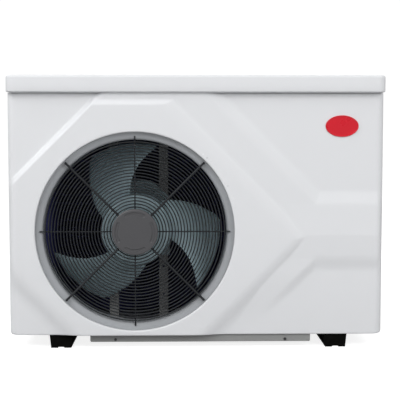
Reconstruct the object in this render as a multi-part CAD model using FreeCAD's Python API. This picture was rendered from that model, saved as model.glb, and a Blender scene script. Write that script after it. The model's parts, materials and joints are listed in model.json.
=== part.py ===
"""Air-source swimming pool heat pump: a floor-standing cabinet with one front fan.

Frame: +X to the right seen from the front, +Y into the cabinet, +Z up. The origin is
on the ground under the centre of the whole unit's box. Lengths are in millimetres.
"""

import FreeCAD
import Part

import math
import os

from FreeCAD import Vector

# ---------------------------------------------------------------- driving dimensions
HALF_DEPTH = 240.0  # half the depth over the grille cap and the pipe unions
SIDE_X = 494.0  # outer face of the side panels
FRONT_HALF_W = 500.0  # half the moulded front's width; it laps over the side panels
COVER_HALF_W = 501.5  # half the top cover's width
TOTAL_H = 729.0  # ground to the top of the cover
Y_FRONT = -232.0  # the front panel's raised face
Y_REAR = 180.0  # outer face of the rear panels
RELIEF = 14.0  # how far the raised face stands off the panel's base face
RIB_RELIEF = 8.0  # how far the ribbon stands off the base face
Z_SKIRT = 36.0  # lower edge of the panels
Z_PANEL_TOP = 681.5  # upper edge of the panels
Z_COVER = 684.0  # lower edge of the cover's skirt
CORNER_R = 20.0  # upright corners of the panel and the cover
SHELL = 3.0  # moulded wall
SHEET = 1.5  # sheet steel
PANEL_RETURN = 56.0  # how far the front panel wraps round the sides

FAN_X, FAN_Z = -163.0, 314.0  # fan axis
OPENING_R = 264.5  # opening in the front panel
ORIFICE_R = 244.0  # bore of the fan shroud
FAN_R = 234.0  # blade tips
HUB_R = 96.0
BLADES = 3
BLADE_START_DEG = 74.8  # angle of the first blade's leading tip
BLADE_T = 3.2
SHAFT_R = 6.0

RING_COUNT = 22
RING_PITCH = 8.2
RING_FIRST_R = 66.0
RING_WIRE_R = 1.6
CAP_R = 61.5

LEG_LEFT_X, LEG_RIGHT_X = -363.0, 375.0
LEG_TOP_Z = 37.5
LEG_BOTTOM_W, LEG_TOP_W = 54.0, 62.0
LEG_Y0, LEG_Y1 = -212.0, 172.0
ANCHOR_R = 5.5
ANCHOR_Y = 140.0  # anchor holes lie this far in front of and behind Y = ANCHOR_MID
ANCHOR_MID = -20.0

COIL_T = 38.0  # evaporator thickness
COIL_Y0 = 128.0
COIL_X0, COIL_X1 = -466.0, 118.0
COIL_Z0, COIL_Z1 = 42.0, 612.0
TUBE_PITCH = 25.4
TUBE_R = 4.8

PARTITION_X = 120.0
UNION_X = 392.0
INLET_Z, OUTLET_Z = 150.0, 430.0
PIPE_SOCKET_R = 25.1
PIPE_SOCKET_L = 31.0

CONTROL_Y, CONTROL_Z = -40.0, 556.0  # centre of the controller on the right side
CONTROL_W, CONTROL_H = 140.0, 84.0
BUTTON_R = 5.5
HANDLE_Z = 640.0
HANDLE_W, HANDLE_H, HANDLE_DEPTH = 104.0, 32.0, 20.0
LEFT_HANDLE_Y, RIGHT_HANDLE_Y = 10.0, 60.0

X, Y, Z = Vector(1, 0, 0), Vector(0, 1, 0), Vector(0, 0, 1)
BASE_Y = Y_FRONT + RELIEF
PANEL_BACK = BASE_Y + PANEL_RETURN
GRILLE_Y = Y_FRONT + 10.0

OUTSIDE = 560.0  # beyond the cabinet, so that the envelope trims the relief
# Edge lines a*x + b*z = c of the raised field: a, b, c at its top and c at its foot.
HEXAGON_LINES = [
    (-1, 1, 925, 949),
    (0, 1, 651, 678),
    (1, 1, 590, 619),
    (1, -1, -17, 21),
    (0, 1, 0, 0),
    (1, 1, -287, -315),
    (1, 0, -OUTSIDE, -OUTSIDE),
]
RIBBON_LINES = [
    (0, 1, 720, 720),
    (1, 1, 717, 738),
    (0, 1, 387, 421),
    (1, 0, OUTSIDE, OUTSIDE),
    (0, 1, 242, 214),
    (1, -1, 79, 100),
    (0, 1, 0, 0),
    (1, 0, -120, -120),
]

COVER_FRONT, COVER_REAR = Y_FRONT - 3, Y_REAR + 5  # the cover overhangs both faces
DRAIN_X, DRAIN_Y, DRAIN_BORE, DRAIN_R = -60.0, 60.0, 6.5, 9.0
SIDE_T = 2.5  # side panels
SIDE_Y0 = PANEL_BACK + 1.0  # their front edge, behind the front panel's return

# Air slots in the left side panel, as columns of Y ranges, and vents in the rear panel.
LOUVRE_ROWS, LOUVRE_PITCH, LOUVRE_H, LOUVRE_Z0 = 24, 22.0, 11.0, 70.0
LOUVRE_COLUMNS = ((-110.0, -30.0), (-20.0, 60.0), (70.0, 150.0))
VENT_ROWS, VENT_PITCH, VENT_Z0 = 8, 12.0, 560.0

# Grid over the rear of the coil.
GUARD_X0, GUARD_X1 = -475.0, 122.0
GUARD_T = 4.0
GUARD_COLUMNS, GUARD_ROWS = 8, 30
GUARD_RIM, GUARD_BAR = 14.0, 4.0
GUARD_TOP_BAND = 50.0

# Blade outline: radius, then the angles of its front and rear edges from the front edge's tip.
BLADE_STATIONS = (
    (92.0, 27.0, 95.0),
    (112.0, 24.6, 86.5),
    (135.0, 21.0, 78.0),
    (160.0, 16.4, 69.8),
    (185.0, 11.2, 62.4),
    (210.0, 5.6, 56.0),
    (FAN_R, 0.0, 50.6),
)
# Depth of the two edges at the hub and at the tip: the blade deepens outwards.
BLADE_FRONT_ROOT_Y, BLADE_FRONT_TIP_Y = Y_FRONT + 122, Y_FRONT + 82
BLADE_REAR_ROOT_Y, BLADE_REAR_TIP_Y = Y_FRONT + 154, Y_FRONT + 202
HUB_REAR_Y = Y_FRONT + 160
MOTOR_Y = Y_FRONT + 168  # front of the motor can, just behind the hub
MOTOR_PLATE_TOP = 126.0  # above the fan axis
BLADE_STEPS = 8
RAIL_X_OFFSET, RAIL_W = 72.0, 26.0  # motor bracket rails, either side of the fan axis

LEFT_LEG_Y0 = -118.0  # front end of the coil's left arm
BEND_COUNT = 11
BEND_R = TUBE_PITCH / 2
BEND_Z0 = COIL_Z0 + 18.0

# Compressor, accumulator, heat exchanger vessel and refrigerant parts.
COMP_X, COMP_Y, COMP_R = 222.0, -60.0, 60.0
COMP_Z0, COMP_Z1 = 56.0, 320.0
ACC_X, ACC_R = 320.0, 31.0
HEX_R, HEX_X, HEX_Y = 72.0, 392.0, 70.0
HEX_Z0, HEX_Z1 = 84.0, 500.0
REFRIGERANT_R = 6.0
VALVE_X, VALVE_Y, VALVE_Z = 240.0, 20.0, 400.0
HEADER_X, HEADER_Y = 166.0, 137.0
EEV_X, EEV_Y, EEV_Z = 320.0, -110.0, 400.0

COIL_TURNS, COIL_TURN_PITCH, COIL_HELIX_R, COIL_TUBE_R = 13, 22.0, 46.0, 6.5
UNIONS = {"inlet": INLET_Z, "outlet": OUTLET_Z}
GLAND_X, GLAND_Z, GLAND_R = 250.0, 90.0, 6.5
NUT_RIBS = 10

# Electrical tray.
TRAY_X0, TRAY_X1, TRAY_Y0, TRAY_Y1, TRAY_Z0, TRAY_Z1 = 140.0, 455.0, -205.0, -176.0, 440.0, 660.0

# Controller: key face, door hinge and keys.
CONTROL_FACE = SIDE_X - 18.0
HINGE_X, HINGE_Z = SIDE_X + 3.8, CONTROL_Z + CONTROL_H / 2 + 6
HINGE_R = 2.0
BUTTON_NAMES = ("power", "mode", "up", "down")
BUTTON_SPOTS = [(CONTROL_Y - 45 + 30 * k, CONTROL_Z - 24) for k in range(4)]


# ---------------------------------------------------------------- small helpers
def box(x0, x1, y0, y1, z0, z1):
    return Part.makeBox(x1 - x0, y1 - y0, z1 - z0, Vector(x0, y0, z0))


def rod_x(r, x0, x1, y, z):
    return Part.makeCylinder(r, x1 - x0, Vector(x0, y, z), X)


def rod_y(r, y0, y1, x, z):
    return Part.makeCylinder(r, y1 - y0, Vector(x, y0, z), Y)


def rod_z(r, z0, z1, x, y):
    return Part.makeCylinder(r, z1 - z0, Vector(x, y, z0), Z)


def hexagon_y(across, y0, y1, x, z):
    """A hexagonal prism along Y, across its flats."""
    r = across / 2 / math.cos(math.pi / 6)
    points = [(x + r * math.cos(k * math.pi / 3), z + r * math.sin(k * math.pi / 3)) for k in range(6)]
    return prism_y(points, y0, y1)


def ring_wire(points, y):
    """A closed wire through (x, z) points at one depth."""
    corners = [Vector(x, y, z) for x, z in points]
    return Part.makePolygon(corners + corners[:1])


def prism_y(points, y0, y1):
    return Part.Face(ring_wire(points, y0)).extrude(Vector(0, y1 - y0, 0))


def frustum_y(outer, inner, y_outer, y_inner):
    """A solid between two outlines with the same number of corners, at two depths."""
    return Part.makeLoft([ring_wire(outer, y_outer), ring_wire(inner, y_inner)], True, True)


def turned_y(profile, x, z):
    """A solid turned about an axis along Y from (radius, y) points."""
    corners = [Vector(x + r, y, z) for r, y in profile]
    face = Part.Face(Part.makePolygon(corners + corners[:1]))
    return face.revolve(Vector(x, 0, z), Y, 360)


def turned_z(profile, x, y):
    """A solid turned about an upright axis from (radius, z) points."""
    corners = [Vector(x + r, y, z) for r, z in profile]
    face = Part.Face(Part.makePolygon(corners + corners[:1]))
    return face.revolve(Vector(x, y, 0), Z, 360)


def plate(outline, holes, thickness):
    """A flat plate from an outer wire and hole wires, pushed along a vector."""
    face = Part.makeFace(Part.makeCompound([outline] + holes), "Part::FaceMakerBullseye")
    return face.extrude(thickness)


def rect_yz(x, y0, y1, z0, z1):
    corners = [Vector(x, y0, z0), Vector(x, y1, z0), Vector(x, y1, z1), Vector(x, y0, z1)]
    return Part.makePolygon(corners + corners[:1])


def rect_xz(y, x0, x1, z0, z1):
    return ring_wire([(x0, z0), (x1, z0), (x1, z1), (x0, z1)], y)


def circle(centre, axis, r):
    return Part.Wire(Part.Circle(centre, axis, r).toShape())


def pipe(points, r, bend):
    """A round rod along straight runs joined by tangent arcs of one bend radius."""
    corners = [Vector(*p) for p in points]
    edges = []
    start = corners[0]
    for before, corner, after in zip(corners, corners[1:], corners[2:]):
        arriving = (corner - before).normalize()
        leaving = (after - corner).normalize()
        turn = arriving.getAngle(leaving)
        cut = bend * math.tan(turn / 2)
        first, last = corner - arriving * cut, corner + leaving * cut
        inward = (leaving - arriving).normalize()
        reach = bend / math.cos(turn / 2) - bend
        middle = corner + inward * reach
        edges.append(Part.LineSegment(start, first).toShape())
        edges.append(Part.Arc(first, middle, last).toShape())
        start = last
    edges.append(Part.LineSegment(start, corners[-1]).toShape())
    section = circle(corners[0], corners[1] - corners[0], r)
    return Part.Wire(edges).makePipeShell([section], True, False)


def upright_edges(shape, y_limit):
    """The upright edges at the two front corners of a box-like shape."""
    found = []
    for edge in shape.Edges:
        a, b = edge.Vertexes[0].Point, edge.Vertexes[-1].Point
        is_upright = abs(a.x - b.x) < 1e-6 and abs(a.y - b.y) < 1e-6
        if is_upright and a.y < y_limit:
            found.append(edge)
    return found


def fused(shapes):
    return shapes[0].multiFuse(shapes[1:]).removeSplitter()


def save(name, *solids):
    shape = solids[0] if len(solids) == 1 else Part.makeCompound(list(solids))
    shape.exportStep(f"parts/{name}.step")


# ---------------------------------------------------------------- front panel relief
def crossing(first, second):
    """Where the lines a*x + b*z = c meet."""
    (a1, b1, c1), (a2, b2, c2) = first, second
    det = a1 * b2 - a2 * b1
    return ((c1 * b2 - c2 * b1) / det, (a1 * c2 - a2 * c1) / det)


def outline(lines, level):
    """Corners of the polygon between neighbouring lines (a, b, c at the top, c at the foot)."""
    picked = [(a, b, c[level]) for a, b, *c in lines]
    return [crossing(p, q) for p, q in zip(picked, picked[1:] + picked[:1])]


def envelope(y_face, wall, z_low):
    """The cabinet front's rounded block, shrunk by a wall, from one face depth backwards."""
    half = FRONT_HALF_W - wall
    block = box(-half, half, y_face + wall, PANEL_BACK + wall, z_low, Z_PANEL_TOP - wall)
    return block.makeFillet(CORNER_R - wall, upright_edges(block, y_face + wall + 1))


def relief_block(wall, z_low):
    """Base block with the hexagon round the fan and the ribbon to its right standing on it."""
    base = envelope(BASE_Y, wall, z_low)
    raised = []
    for lines, height in ((HEXAGON_LINES, RELIEF), (RIBBON_LINES, RIB_RELIEF)):
        foot, top = outline(lines, 1), outline(lines, 0)
        tower = frustum_y(foot, top, BASE_Y + wall, BASE_Y + wall - height)
        root = prism_y(foot, BASE_Y + wall, BASE_Y + wall + 8)
        raised.append(tower.fuse(root).common(envelope(BASE_Y - height, wall, z_low)))
    return fused([base] + raised)


def front_panel():
    outside = relief_block(0, Z_SKIRT)
    hollow = relief_block(SHELL, Z_SKIRT - 20)
    shell = outside.cut(hollow)
    hems = []
    for x0, x1 in ((-FRONT_HALF_W + 1, -SIDE_X + 4), (SIDE_X - 4, FRONT_HALF_W - 1)):
        hems.append(box(x0, x1, PANEL_BACK - SHELL, PANEL_BACK, Z_SKIRT, Z_PANEL_TOP))
    lip = rod_y(OPENING_R + SHELL, Y_FRONT + 1, Y_FRONT + 12, FAN_X, FAN_Z)
    opening = rod_y(OPENING_R, Y_FRONT - 5, Y_FRONT + 20, FAN_X, FAN_Z)
    return fused([shell, lip] + hems).cut(opening)


def badge():
    """A plain oval badge, slightly domed, glued on the panel's base face."""
    oval = Part.Ellipse(Vector(387, BASE_Y, 594), 44, 28.5)
    oval.Axis = Vector(0, -1, 0)
    oval.XAxis = X
    body = Part.Face(Part.Wire(oval.toShape())).extrude(Vector(0, -3, 0))
    rim = []
    for edge in body.Edges:
        bounds = edge.BoundBox
        if bounds.YLength < 1e-6 and bounds.YMin < BASE_Y - 2:
            rim.append(edge)
    return body.makeFillet(1.4, rim)


# ---------------------------------------------------------------- cabinet


def cover_block(inset, z0, z1):
    half = COVER_HALF_W - inset
    block = box(-half, half, COVER_FRONT + inset, COVER_REAR - inset, z0, z1)
    radius = max(CORNER_R - inset, 4)
    edges = upright_edges(block, COVER_REAR + 1)
    return block.makeFillet(radius, edges)


def top_cover():
    outside = cover_block(0, Z_COVER, TOTAL_H)
    rim = [e for e in outside.Edges if e.BoundBox.ZMin > TOTAL_H - 1e-3]
    outside = outside.makeFillet(7, rim)
    hollow = cover_block(SHELL, Z_COVER - 5, TOTAL_H - SHELL)
    ledge = cover_block(SHELL - 0.5, Z_COVER + 6, Z_COVER + 10).cut(cover_block(13, Z_COVER, Z_COVER + 20))
    step = cover_block(8, Z_PANEL_TOP, Z_COVER + 8)
    step = step.cut(box(-486, 486, BASE_Y + 8, Y_REAR - 8, Z_PANEL_TOP - 1, Z_COVER + 20))
    return fused([outside.cut(hollow), ledge, step])


def base_pan():
    half, front, rear, floor = SIDE_X - 4, BASE_Y + 4, Y_REAR - 4, LEG_TOP_Z
    outside = box(-half, half, front, rear, floor, floor + 24)
    outside = outside.makeFillet(CORNER_R, upright_edges(outside, front + 1))
    inside = box(-half + SHEET, half - SHEET, front + SHEET, rear - SHEET, floor + SHEET, floor + 30)
    inside = inside.makeFillet(CORNER_R - SHEET, upright_edges(inside, front + SHEET + 1))
    pan = outside.cut(inside)
    for leg_x in (LEG_LEFT_X, LEG_RIGHT_X):
        for side in (-1, 1):
            pan = pan.cut(rod_z(ANCHOR_R + 0.5, floor - 1, floor + 5, leg_x, ANCHOR_MID + side * ANCHOR_Y))
    return pan.cut(rod_z(DRAIN_BORE, floor - 1, floor + 5, DRAIN_X, DRAIN_Y))


def drain_nipple():
    """Condensate outlet: a flanged spigot under the pan for a soft hose."""
    top = LEG_TOP_Z
    flange = rod_z(15, top - 3, top, DRAIN_X, DRAIN_Y)
    spigot = rod_z(DRAIN_R, top - 24, top - 3, DRAIN_X, DRAIN_Y)
    return fused([flange, spigot]).cut(rod_z(DRAIN_BORE, top - 30, top + 1, DRAIN_X, DRAIN_Y))


def front_rail():
    """Steel channel under the front edge, open at the back, tying the two legs."""
    x0, x1, y0, y1, z0 = -285.0, 307.0, Y_FRONT + 20, Y_FRONT + 52, 15.5
    body = box(x0, x1, y0, y1, z0, LEG_TOP_Z)
    lower = [e for e in body.Edges if e.BoundBox.ZMax < z0 + 1e-3 and e.BoundBox.YLength > 10]
    body = body.makeFillet(4, lower)
    inside = box(x0 - 1, x1 + 1, y0 + SHEET, y1 + 1, z0 + SHEET, LEG_TOP_Z - SHEET)
    return body.cut(inside.common(box(x0 + SHEET, x1 - SHEET, y0, y1 + 1, z0, LEG_TOP_Z)))


def leg(x):
    """Moulded leg along the depth, wider at the top, with anchor holes and a notch in front."""
    half_low, half_top = LEG_BOTTOM_W / 2, LEG_TOP_W / 2
    section = [(x - half_low, 0), (x + half_low, 0), (x + half_top, LEG_TOP_Z), (x - half_top, LEG_TOP_Z)]
    body = prism_y(section, LEG_Y0, LEG_Y1)
    notch = rod_y(10, LEG_Y0 - 1, LEG_Y0 + 12, x, -5)
    body = body.cut(notch)
    for side in (-1, 1):
        body = body.cut(rod_z(ANCHOR_R, -1, LEG_TOP_Z + 1, x, ANCHOR_MID + side * ANCHOR_Y))
    return body


def leg_bolts():
    """Hexagon bolts that hold the pan on the legs, heads inside the pan."""
    bolts = []
    floor = LEG_TOP_Z + SHEET
    for leg_x in (LEG_LEFT_X, LEG_RIGHT_X):
        for y in (-110.0, 60.0):
            hexagon = [(6.5 * math.cos(k * math.pi / 3), 6.5 * math.sin(k * math.pi / 3)) for k in range(6)]
            corners = [Vector(leg_x + a, y + b, floor) for a, b in hexagon]
            head = Part.Face(Part.makePolygon(corners + corners[:1])).extrude(Vector(0, 0, 5))
            bolts.append(head)
    return bolts


def side_sheet(side, holes):
    """A side panel with a return flange at its rear edge; side is -1 left, 1 right."""
    x_out = side * SIDE_X
    sheet = plate(rect_yz(x_out, SIDE_Y0, Y_REAR, Z_SKIRT, Z_PANEL_TOP), holes, Vector(-side * SIDE_T, 0, 0))
    x0, x1 = sorted((x_out - side * SIDE_T, x_out - side * 18))
    return sheet.fuse(box(x0, x1, Y_REAR - SIDE_T, Y_REAR, Z_SKIRT, Z_PANEL_TOP)).removeSplitter()


def left_side_panel():
    """Left side with rows of air slots in front of the coil's short leg."""
    x = -SIDE_X
    holes = [handle_cutout(x, LEFT_HANDLE_Y)]
    for row in range(LOUVRE_ROWS):
        z = LOUVRE_Z0 + row * LOUVRE_PITCH
        for y0, y1 in LOUVRE_COLUMNS:
            holes.append(rect_yz(x, y0, y1, z, z + LOUVRE_H))
    return side_sheet(-1, holes)


def handle_cutout(x, y):
    return rect_yz(x, y - HANDLE_W / 2, y + HANDLE_W / 2, HANDLE_Z - HANDLE_H / 2, HANDLE_Z + HANDLE_H / 2)


def right_side_panel():
    x = SIDE_X
    window = rect_yz(
        x,
        CONTROL_Y - CONTROL_W / 2,
        CONTROL_Y + CONTROL_W / 2,
        CONTROL_Z - CONTROL_H / 2,
        CONTROL_Z + CONTROL_H / 2,
    )
    return side_sheet(1, [handle_cutout(x, RIGHT_HANDLE_Y), window])


def handle_cup(side, y):
    """A grip recess: flange on the panel and a cup behind it."""
    grow, wall = 5.0, 2.0
    x = side * SIDE_X
    half_w, half_h = HANDLE_W / 2 - 0.3, HANDLE_H / 2 - 0.3
    x_in = x - side * HANDLE_DEPTH
    xs = sorted((x_in, x))
    cup = box(xs[0], xs[1], y - half_w, y + half_w, HANDLE_Z - half_h, HANDLE_Z + half_h)
    face = sorted((x, x + side * 1.5))
    flange = box(
        face[0],
        face[1],
        y - HANDLE_W / 2 - grow,
        y + HANDLE_W / 2 + grow,
        HANDLE_Z - HANDLE_H / 2 - grow,
        HANDLE_Z + HANDLE_H / 2 + grow,
    )
    pocket_x = sorted((x_in + side * wall, x + side * 3))
    pocket = box(
        pocket_x[0],
        pocket_x[1],
        y - half_w + wall,
        y + half_w - wall,
        HANDLE_Z - half_h + wall,
        HANDLE_Z + half_h - wall,
    )
    return cup.fuse(flange).removeSplitter().cut(pocket)


def rear_service_panel():
    """Rear panel over the compressor bay, with holes for both unions and the cable gland."""
    outer = rect_xz(Y_REAR, 124, SIDE_X - 18.5, Z_SKIRT, Z_PANEL_TOP)
    holes = [circle(Vector(UNION_X, Y_REAR, z), Y, 33.0) for z in UNIONS.values()]
    holes.append(circle(Vector(GLAND_X, Y_REAR, GLAND_Z), Y, 10.2))
    for row in range(VENT_ROWS):
        z = VENT_Z0 + row * VENT_PITCH
        holes.append(rect_xz(Y_REAR, 170, 290, z, z + 5))
    return plate(outer, holes, Vector(0, -SIDE_T, 0))


def rear_coil_guard():
    """Moulded grid over the rear of the coil."""
    outer = rect_xz(Y_REAR, GUARD_X0, GUARD_X1, Z_SKIRT + 1, Z_PANEL_TOP)
    cell_w = (GUARD_X1 - GUARD_X0 - 2 * GUARD_RIM + GUARD_BAR) / GUARD_COLUMNS
    cell_h = (Z_PANEL_TOP - Z_SKIRT - 1 - 2 * GUARD_RIM - GUARD_TOP_BAND + GUARD_BAR) / GUARD_ROWS
    holes = []
    for column in range(GUARD_COLUMNS):
        x = GUARD_X0 + GUARD_RIM + column * cell_w
        for row in range(GUARD_ROWS):
            z = Z_SKIRT + 1 + GUARD_RIM + row * cell_h
            holes.append(rect_xz(Y_REAR, x, x + cell_w - GUARD_BAR, z, z + cell_h - GUARD_BAR))
    return plate(outer, holes, Vector(0, -GUARD_T, 0))


def partition():
    """Bulkhead between the fan bay and the compressor bay."""
    return box(PARTITION_X, PARTITION_X + SHEET, BASE_Y + 8, COIL_Y0 - 1, LEG_TOP_Z + SHEET, Z_PANEL_TOP - 4)


def panel_screws():
    """Pan-head screws of the cover, rear, sides and front rail, as separate solids."""
    heads = []
    for x in (-217.0, 239.0):
        heads.append(rod_y(3.6, Y_FRONT + 18, Y_FRONT + 20, x, 22.0))
    for x in (-440.0, -150.0, 150.0, 440.0):
        heads.append(rod_y(3.6, COVER_REAR, COVER_REAR + 2, x, 705.0))
    for x in (-484.0, 484.0):
        for z in (60.0, 250.0, 460.0, 660.0):
            heads.append(rod_y(3.6, Y_REAR, Y_REAR + 2, x, z))
    for x in (136.0, 464.0):
        for z in (52.0, 340.0, 668.0):
            heads.append(rod_y(3.6, Y_REAR, Y_REAR + 2, x, z))
    for x0, x1 in ((-SIDE_X - 2, -SIDE_X), (SIDE_X, SIDE_X + 2)):
        for y in (-150.0, 0.0, 160.0):
            heads.append(rod_x(3.6, x0, x1, y, 50.0))
    return heads


# ---------------------------------------------------------------- fan group
def fan_shroud():
    """Orifice ring: a shallow dished flange behind the opening and a short bore."""
    y = Y_FRONT
    profile = [
        (275, y + 13),
        (249, y + 15),
        (245.2, y + 16.8),
        (ORIFICE_R, y + 21),
        (ORIFICE_R, y + 60),
        (247, y + 68),
        (249.5, y + 68),
        (246.5, y + 60),
        (246.5, y + 21.5),
        (249.5, y + 17.6),
        (275, y + 15.6),
    ]
    return turned_y(profile, FAN_X, FAN_Z)


def around_fan(radius, degrees, y):
    angle = math.radians(degrees)
    return Vector(FAN_X + radius * math.cos(angle), y, FAN_Z + radius * math.sin(angle))


def spoke(degrees, r0, r1, wire_r, y):
    start, end = around_fan(r0, degrees, y), around_fan(r1, degrees, y)
    return Part.makeCylinder(wire_r, r1 - r0, start, end - start)


def wire_ring(radius):
    """One guard ring, of an eight-sided wire section."""
    section = []
    for k in range(8):
        a = math.pi / 4 * (k + 0.5)
        reach = RING_WIRE_R / math.cos(math.pi / 8)
        section.append((radius + reach * math.cos(a), GRILLE_Y + reach * math.sin(a)))
    ring = turned_y(section, FAN_X, FAN_Z)
    ring.rotate(Vector(FAN_X, 0, FAN_Z), Y, 20)
    return ring


def fan_grille():
    """Welded wire guard: rings, four thin spokes behind them and four thick ones in front."""
    disc = rod_y(56, GRILLE_Y - 1, GRILLE_Y + 1, FAN_X, FAN_Z)
    pieces = [disc]
    for k in range(RING_COUNT):
        pieces.append(wire_ring(RING_FIRST_R + k * RING_PITCH))
    for k in range(4):
        pieces.append(spoke(90 * k, 50, 253.5, 1.8, GRILLE_Y + 2.4))
        pieces.append(spoke(90 * k + 45, 50, 262, 3.0, GRILLE_Y - 3.6))
        foot = around_fan(257, 90 * k + 45, GRILLE_Y - 3.6)
        pieces.append(Part.makeCylinder(2.6, 7.8, foot, Y))
    return pieces[0].multiFuse(pieces[1:])


def grille_screws():
    heads = []
    for k in range(4):
        at = around_fan(257, 90 * k + 45, GRILLE_Y - 8.4)
        heads.append(Part.makeCylinder(3.4, 1.8, at, Y))
    return heads


def grille_cap():
    """Round cap over the middle of the guard, with four shallow arc slots."""
    front, back = -HALF_DEPTH, GRILLE_Y - 6.6
    body = rod_y(CAP_R, front, back, FAN_X, FAN_Z)
    rim = [e for e in body.Edges if e.BoundBox.YMax < front + 1e-3 and e.BoundBox.XLength > 10]
    body = body.makeFillet(2.5, rim)
    ring = rod_y(52.6, front - 1, front + 1, FAN_X, FAN_Z)
    ring = ring.cut(rod_y(45.7, front - 2, front + 2, FAN_X, FAN_Z))
    for k in range(4):
        wedge = [(FAN_X, FAN_Z)]
        for offset in (-32, 0, 32):
            tip = around_fan(90, 90 * k + offset, 0)
            wedge.append((tip.x, tip.z))
        body = body.cut(ring.common(prism_y(wedge, front - 2, front + 2)))
    peg = rod_y(6, back - 1, GRILLE_Y - 1, FAN_X, FAN_Z)
    return body.fuse(peg).removeSplitter()


def blade_point(radius, lead, trail, step, offset):
    """A point on the blade, which slopes back from its front edge to its rear edge."""
    s = step / BLADE_STEPS
    out = (radius - HUB_R) / (FAN_R - HUB_R)
    front_y = BLADE_FRONT_ROOT_Y + (BLADE_FRONT_TIP_Y - BLADE_FRONT_ROOT_Y) * out
    rear_y = BLADE_REAR_ROOT_Y + (BLADE_REAR_TIP_Y - BLADE_REAR_ROOT_Y) * out
    degrees = BLADE_START_DEG + lead + (trail - lead) * s
    rise = s + 0.10 * math.sin(math.pi * s)
    thin = 0.35 + 0.65 * math.sin(math.pi * min(max(s, 0.04), 0.96))
    y = front_y + (rear_y - front_y) * rise
    return around_fan(radius, degrees, y + offset * thin)


def blade():
    """One blade: a front and a rear spline face joined by ruled edges."""
    faces = []
    surfaces = []
    for offset in (-BLADE_T / 2, BLADE_T / 2):
        grid = []
        for radius, lead, trail in BLADE_STATIONS:
            grid.append([blade_point(radius, lead, trail, k, offset) for k in range(BLADE_STEPS + 1)])
        surface = Part.BSplineSurface()
        surface.interpolate(grid)
        surfaces.append(surface)
        faces.append(surface.toShape())
    u0, u1, v0, v1 = surfaces[0].bounds()
    for side in ((u0, None), (u1, None), (None, v0), (None, v1)):
        edges = []
        for surface in surfaces:
            curve = surface.uIso(side[0]) if side[1] is None else surface.vIso(side[1])
            edges.append(curve.toShape())
        faces.append(Part.makeRuledSurface(edges[0], edges[1]))
    shell = Part.makeShell(faces)
    shell.sewShape()
    solid = Part.makeSolid(shell)
    if solid.Volume < 0:
        solid.reverse()
    return solid


def fan_impeller():
    y = Y_FRONT
    hub = turned_y(
        [
            (SHAFT_R, y + 66),
            (34, y + 66),
            (40, y + 58),
            (84, y + 58),
            (91, y + 60.5),
            (95, y + 66),
            (HUB_R, y + 74),
            (HUB_R, HUB_REAR_Y),
            (HUB_R - 3, HUB_REAR_Y),
            (HUB_R - 3, y + 72),
            (86, y + 62),
            (42, y + 62),
            (36, y + 70),
            (18, y + 70),
            (18, y + 112),
            (SHAFT_R, y + 112),
        ],
        FAN_X,
        FAN_Z,
    )
    first = blade()
    blades = []
    for k in range(BLADES):
        turned = first.copy()
        turned.rotate(Vector(FAN_X, 0, FAN_Z), Vector(0, -1, 0), 360.0 / BLADES * k)
        blades.append(turned)
    core = rod_y(HUB_R - 3, y + 50, HUB_REAR_Y + 40, FAN_X, FAN_Z)
    return fused([hub] + [b.cut(core) for b in blades])


def motor_shaft():
    return rod_y(SHAFT_R, Y_FRONT + 50, Y_FRONT + 205, FAN_X, FAN_Z)


def shaft_nut():
    nut = hexagon_y(18, Y_FRONT + 56, Y_FRONT + 66, FAN_X, FAN_Z)
    return nut.cut(rod_y(SHAFT_R, Y_FRONT + 50, Y_FRONT + 70, FAN_X, FAN_Z))


def fan_motor():
    """Sealed motor can with cooling ribs, mounting ears and the shaft's bore."""
    y = Y_FRONT
    can = turned_y(
        [
            (SHAFT_R + 0.1, MOTOR_Y - 10),
            (20, MOTOR_Y - 10),
            (20, MOTOR_Y),
            (50, MOTOR_Y),
            (56, MOTOR_Y + 6),
            (56, y + 226),
            (50, y + 232),
            (0.0, y + 232),
            (0.0, y + 206),
            (SHAFT_R + 0.1, y + 206),
        ],
        FAN_X,
        FAN_Z,
    )
    ears = []
    for k in range(4):
        at = around_fan(64, 45 + 90 * k, y + 224)
        ear = Part.makeCylinder(12, 8, at, Y).fuse(spoke(45 + 90 * k, 40, 64, 8, y + 228))
        ears.append(ear.common(box(-400, 100, y + 224, y + 232, 200, 430)))
    body = fused([can] + ears)
    for k in range(4):
        at = around_fan(66, 45 + 90 * k, y + 220)
        body = body.cut(Part.makeCylinder(3.1, 20, at, Y))
    return body


def motor_bracket():
    """Two upright channels from pan to cover that carry the motor plate."""
    y = Y_FRONT + 236
    pieces = []
    for side in (-1, 1):
        x = FAN_X + side * RAIL_X_OFFSET
        channel = box(x - RAIL_W / 2, x + RAIL_W / 2, y, y + 14, LEG_TOP_Z + SHEET, Z_PANEL_TOP - 6)
        groove = box(x - RAIL_W / 2 + 2, x + RAIL_W / 2 - 2, y + 2, y + 15, 30, 700)
        foot = box(x - 24, x + 24, y + 2, y + 38, LEG_TOP_Z + SHEET, LEG_TOP_Z + SHEET + 2)
        rail = fused([channel.cut(groove), foot])
        for z in (110.0, 190.0, 500.0, 620.0):
            rail = rail.cut(rod_y(3, y - 5, y + 5, x, z))
        pieces.append(rail)
    return pieces


def motor_plate():
    """Plate across the two channels, with its upper corners cut off."""
    y = Y_FRONT + 234
    half, corner = 90.0, 45.0
    shoulder, top_half = MOTOR_PLATE_TOP - corner, half - 1.2 * corner
    profile = [(-half, -half), (half, -half), (half, shoulder), (top_half, MOTOR_PLATE_TOP)]
    profile += [(-top_half, MOTOR_PLATE_TOP), (-half, shoulder)]
    corners = [Vector(FAN_X + x, y, FAN_Z + z) for x, z in profile]
    plate_solid = Part.Face(Part.makePolygon(corners + corners[:1])).extrude(Vector(0, 2, 0))
    for k in range(4):
        at = around_fan(66, 45 + 90 * k, y - 5)
        plate_solid = plate_solid.cut(Part.makeCylinder(3.1, 30, at, Y))
    return plate_solid


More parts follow.
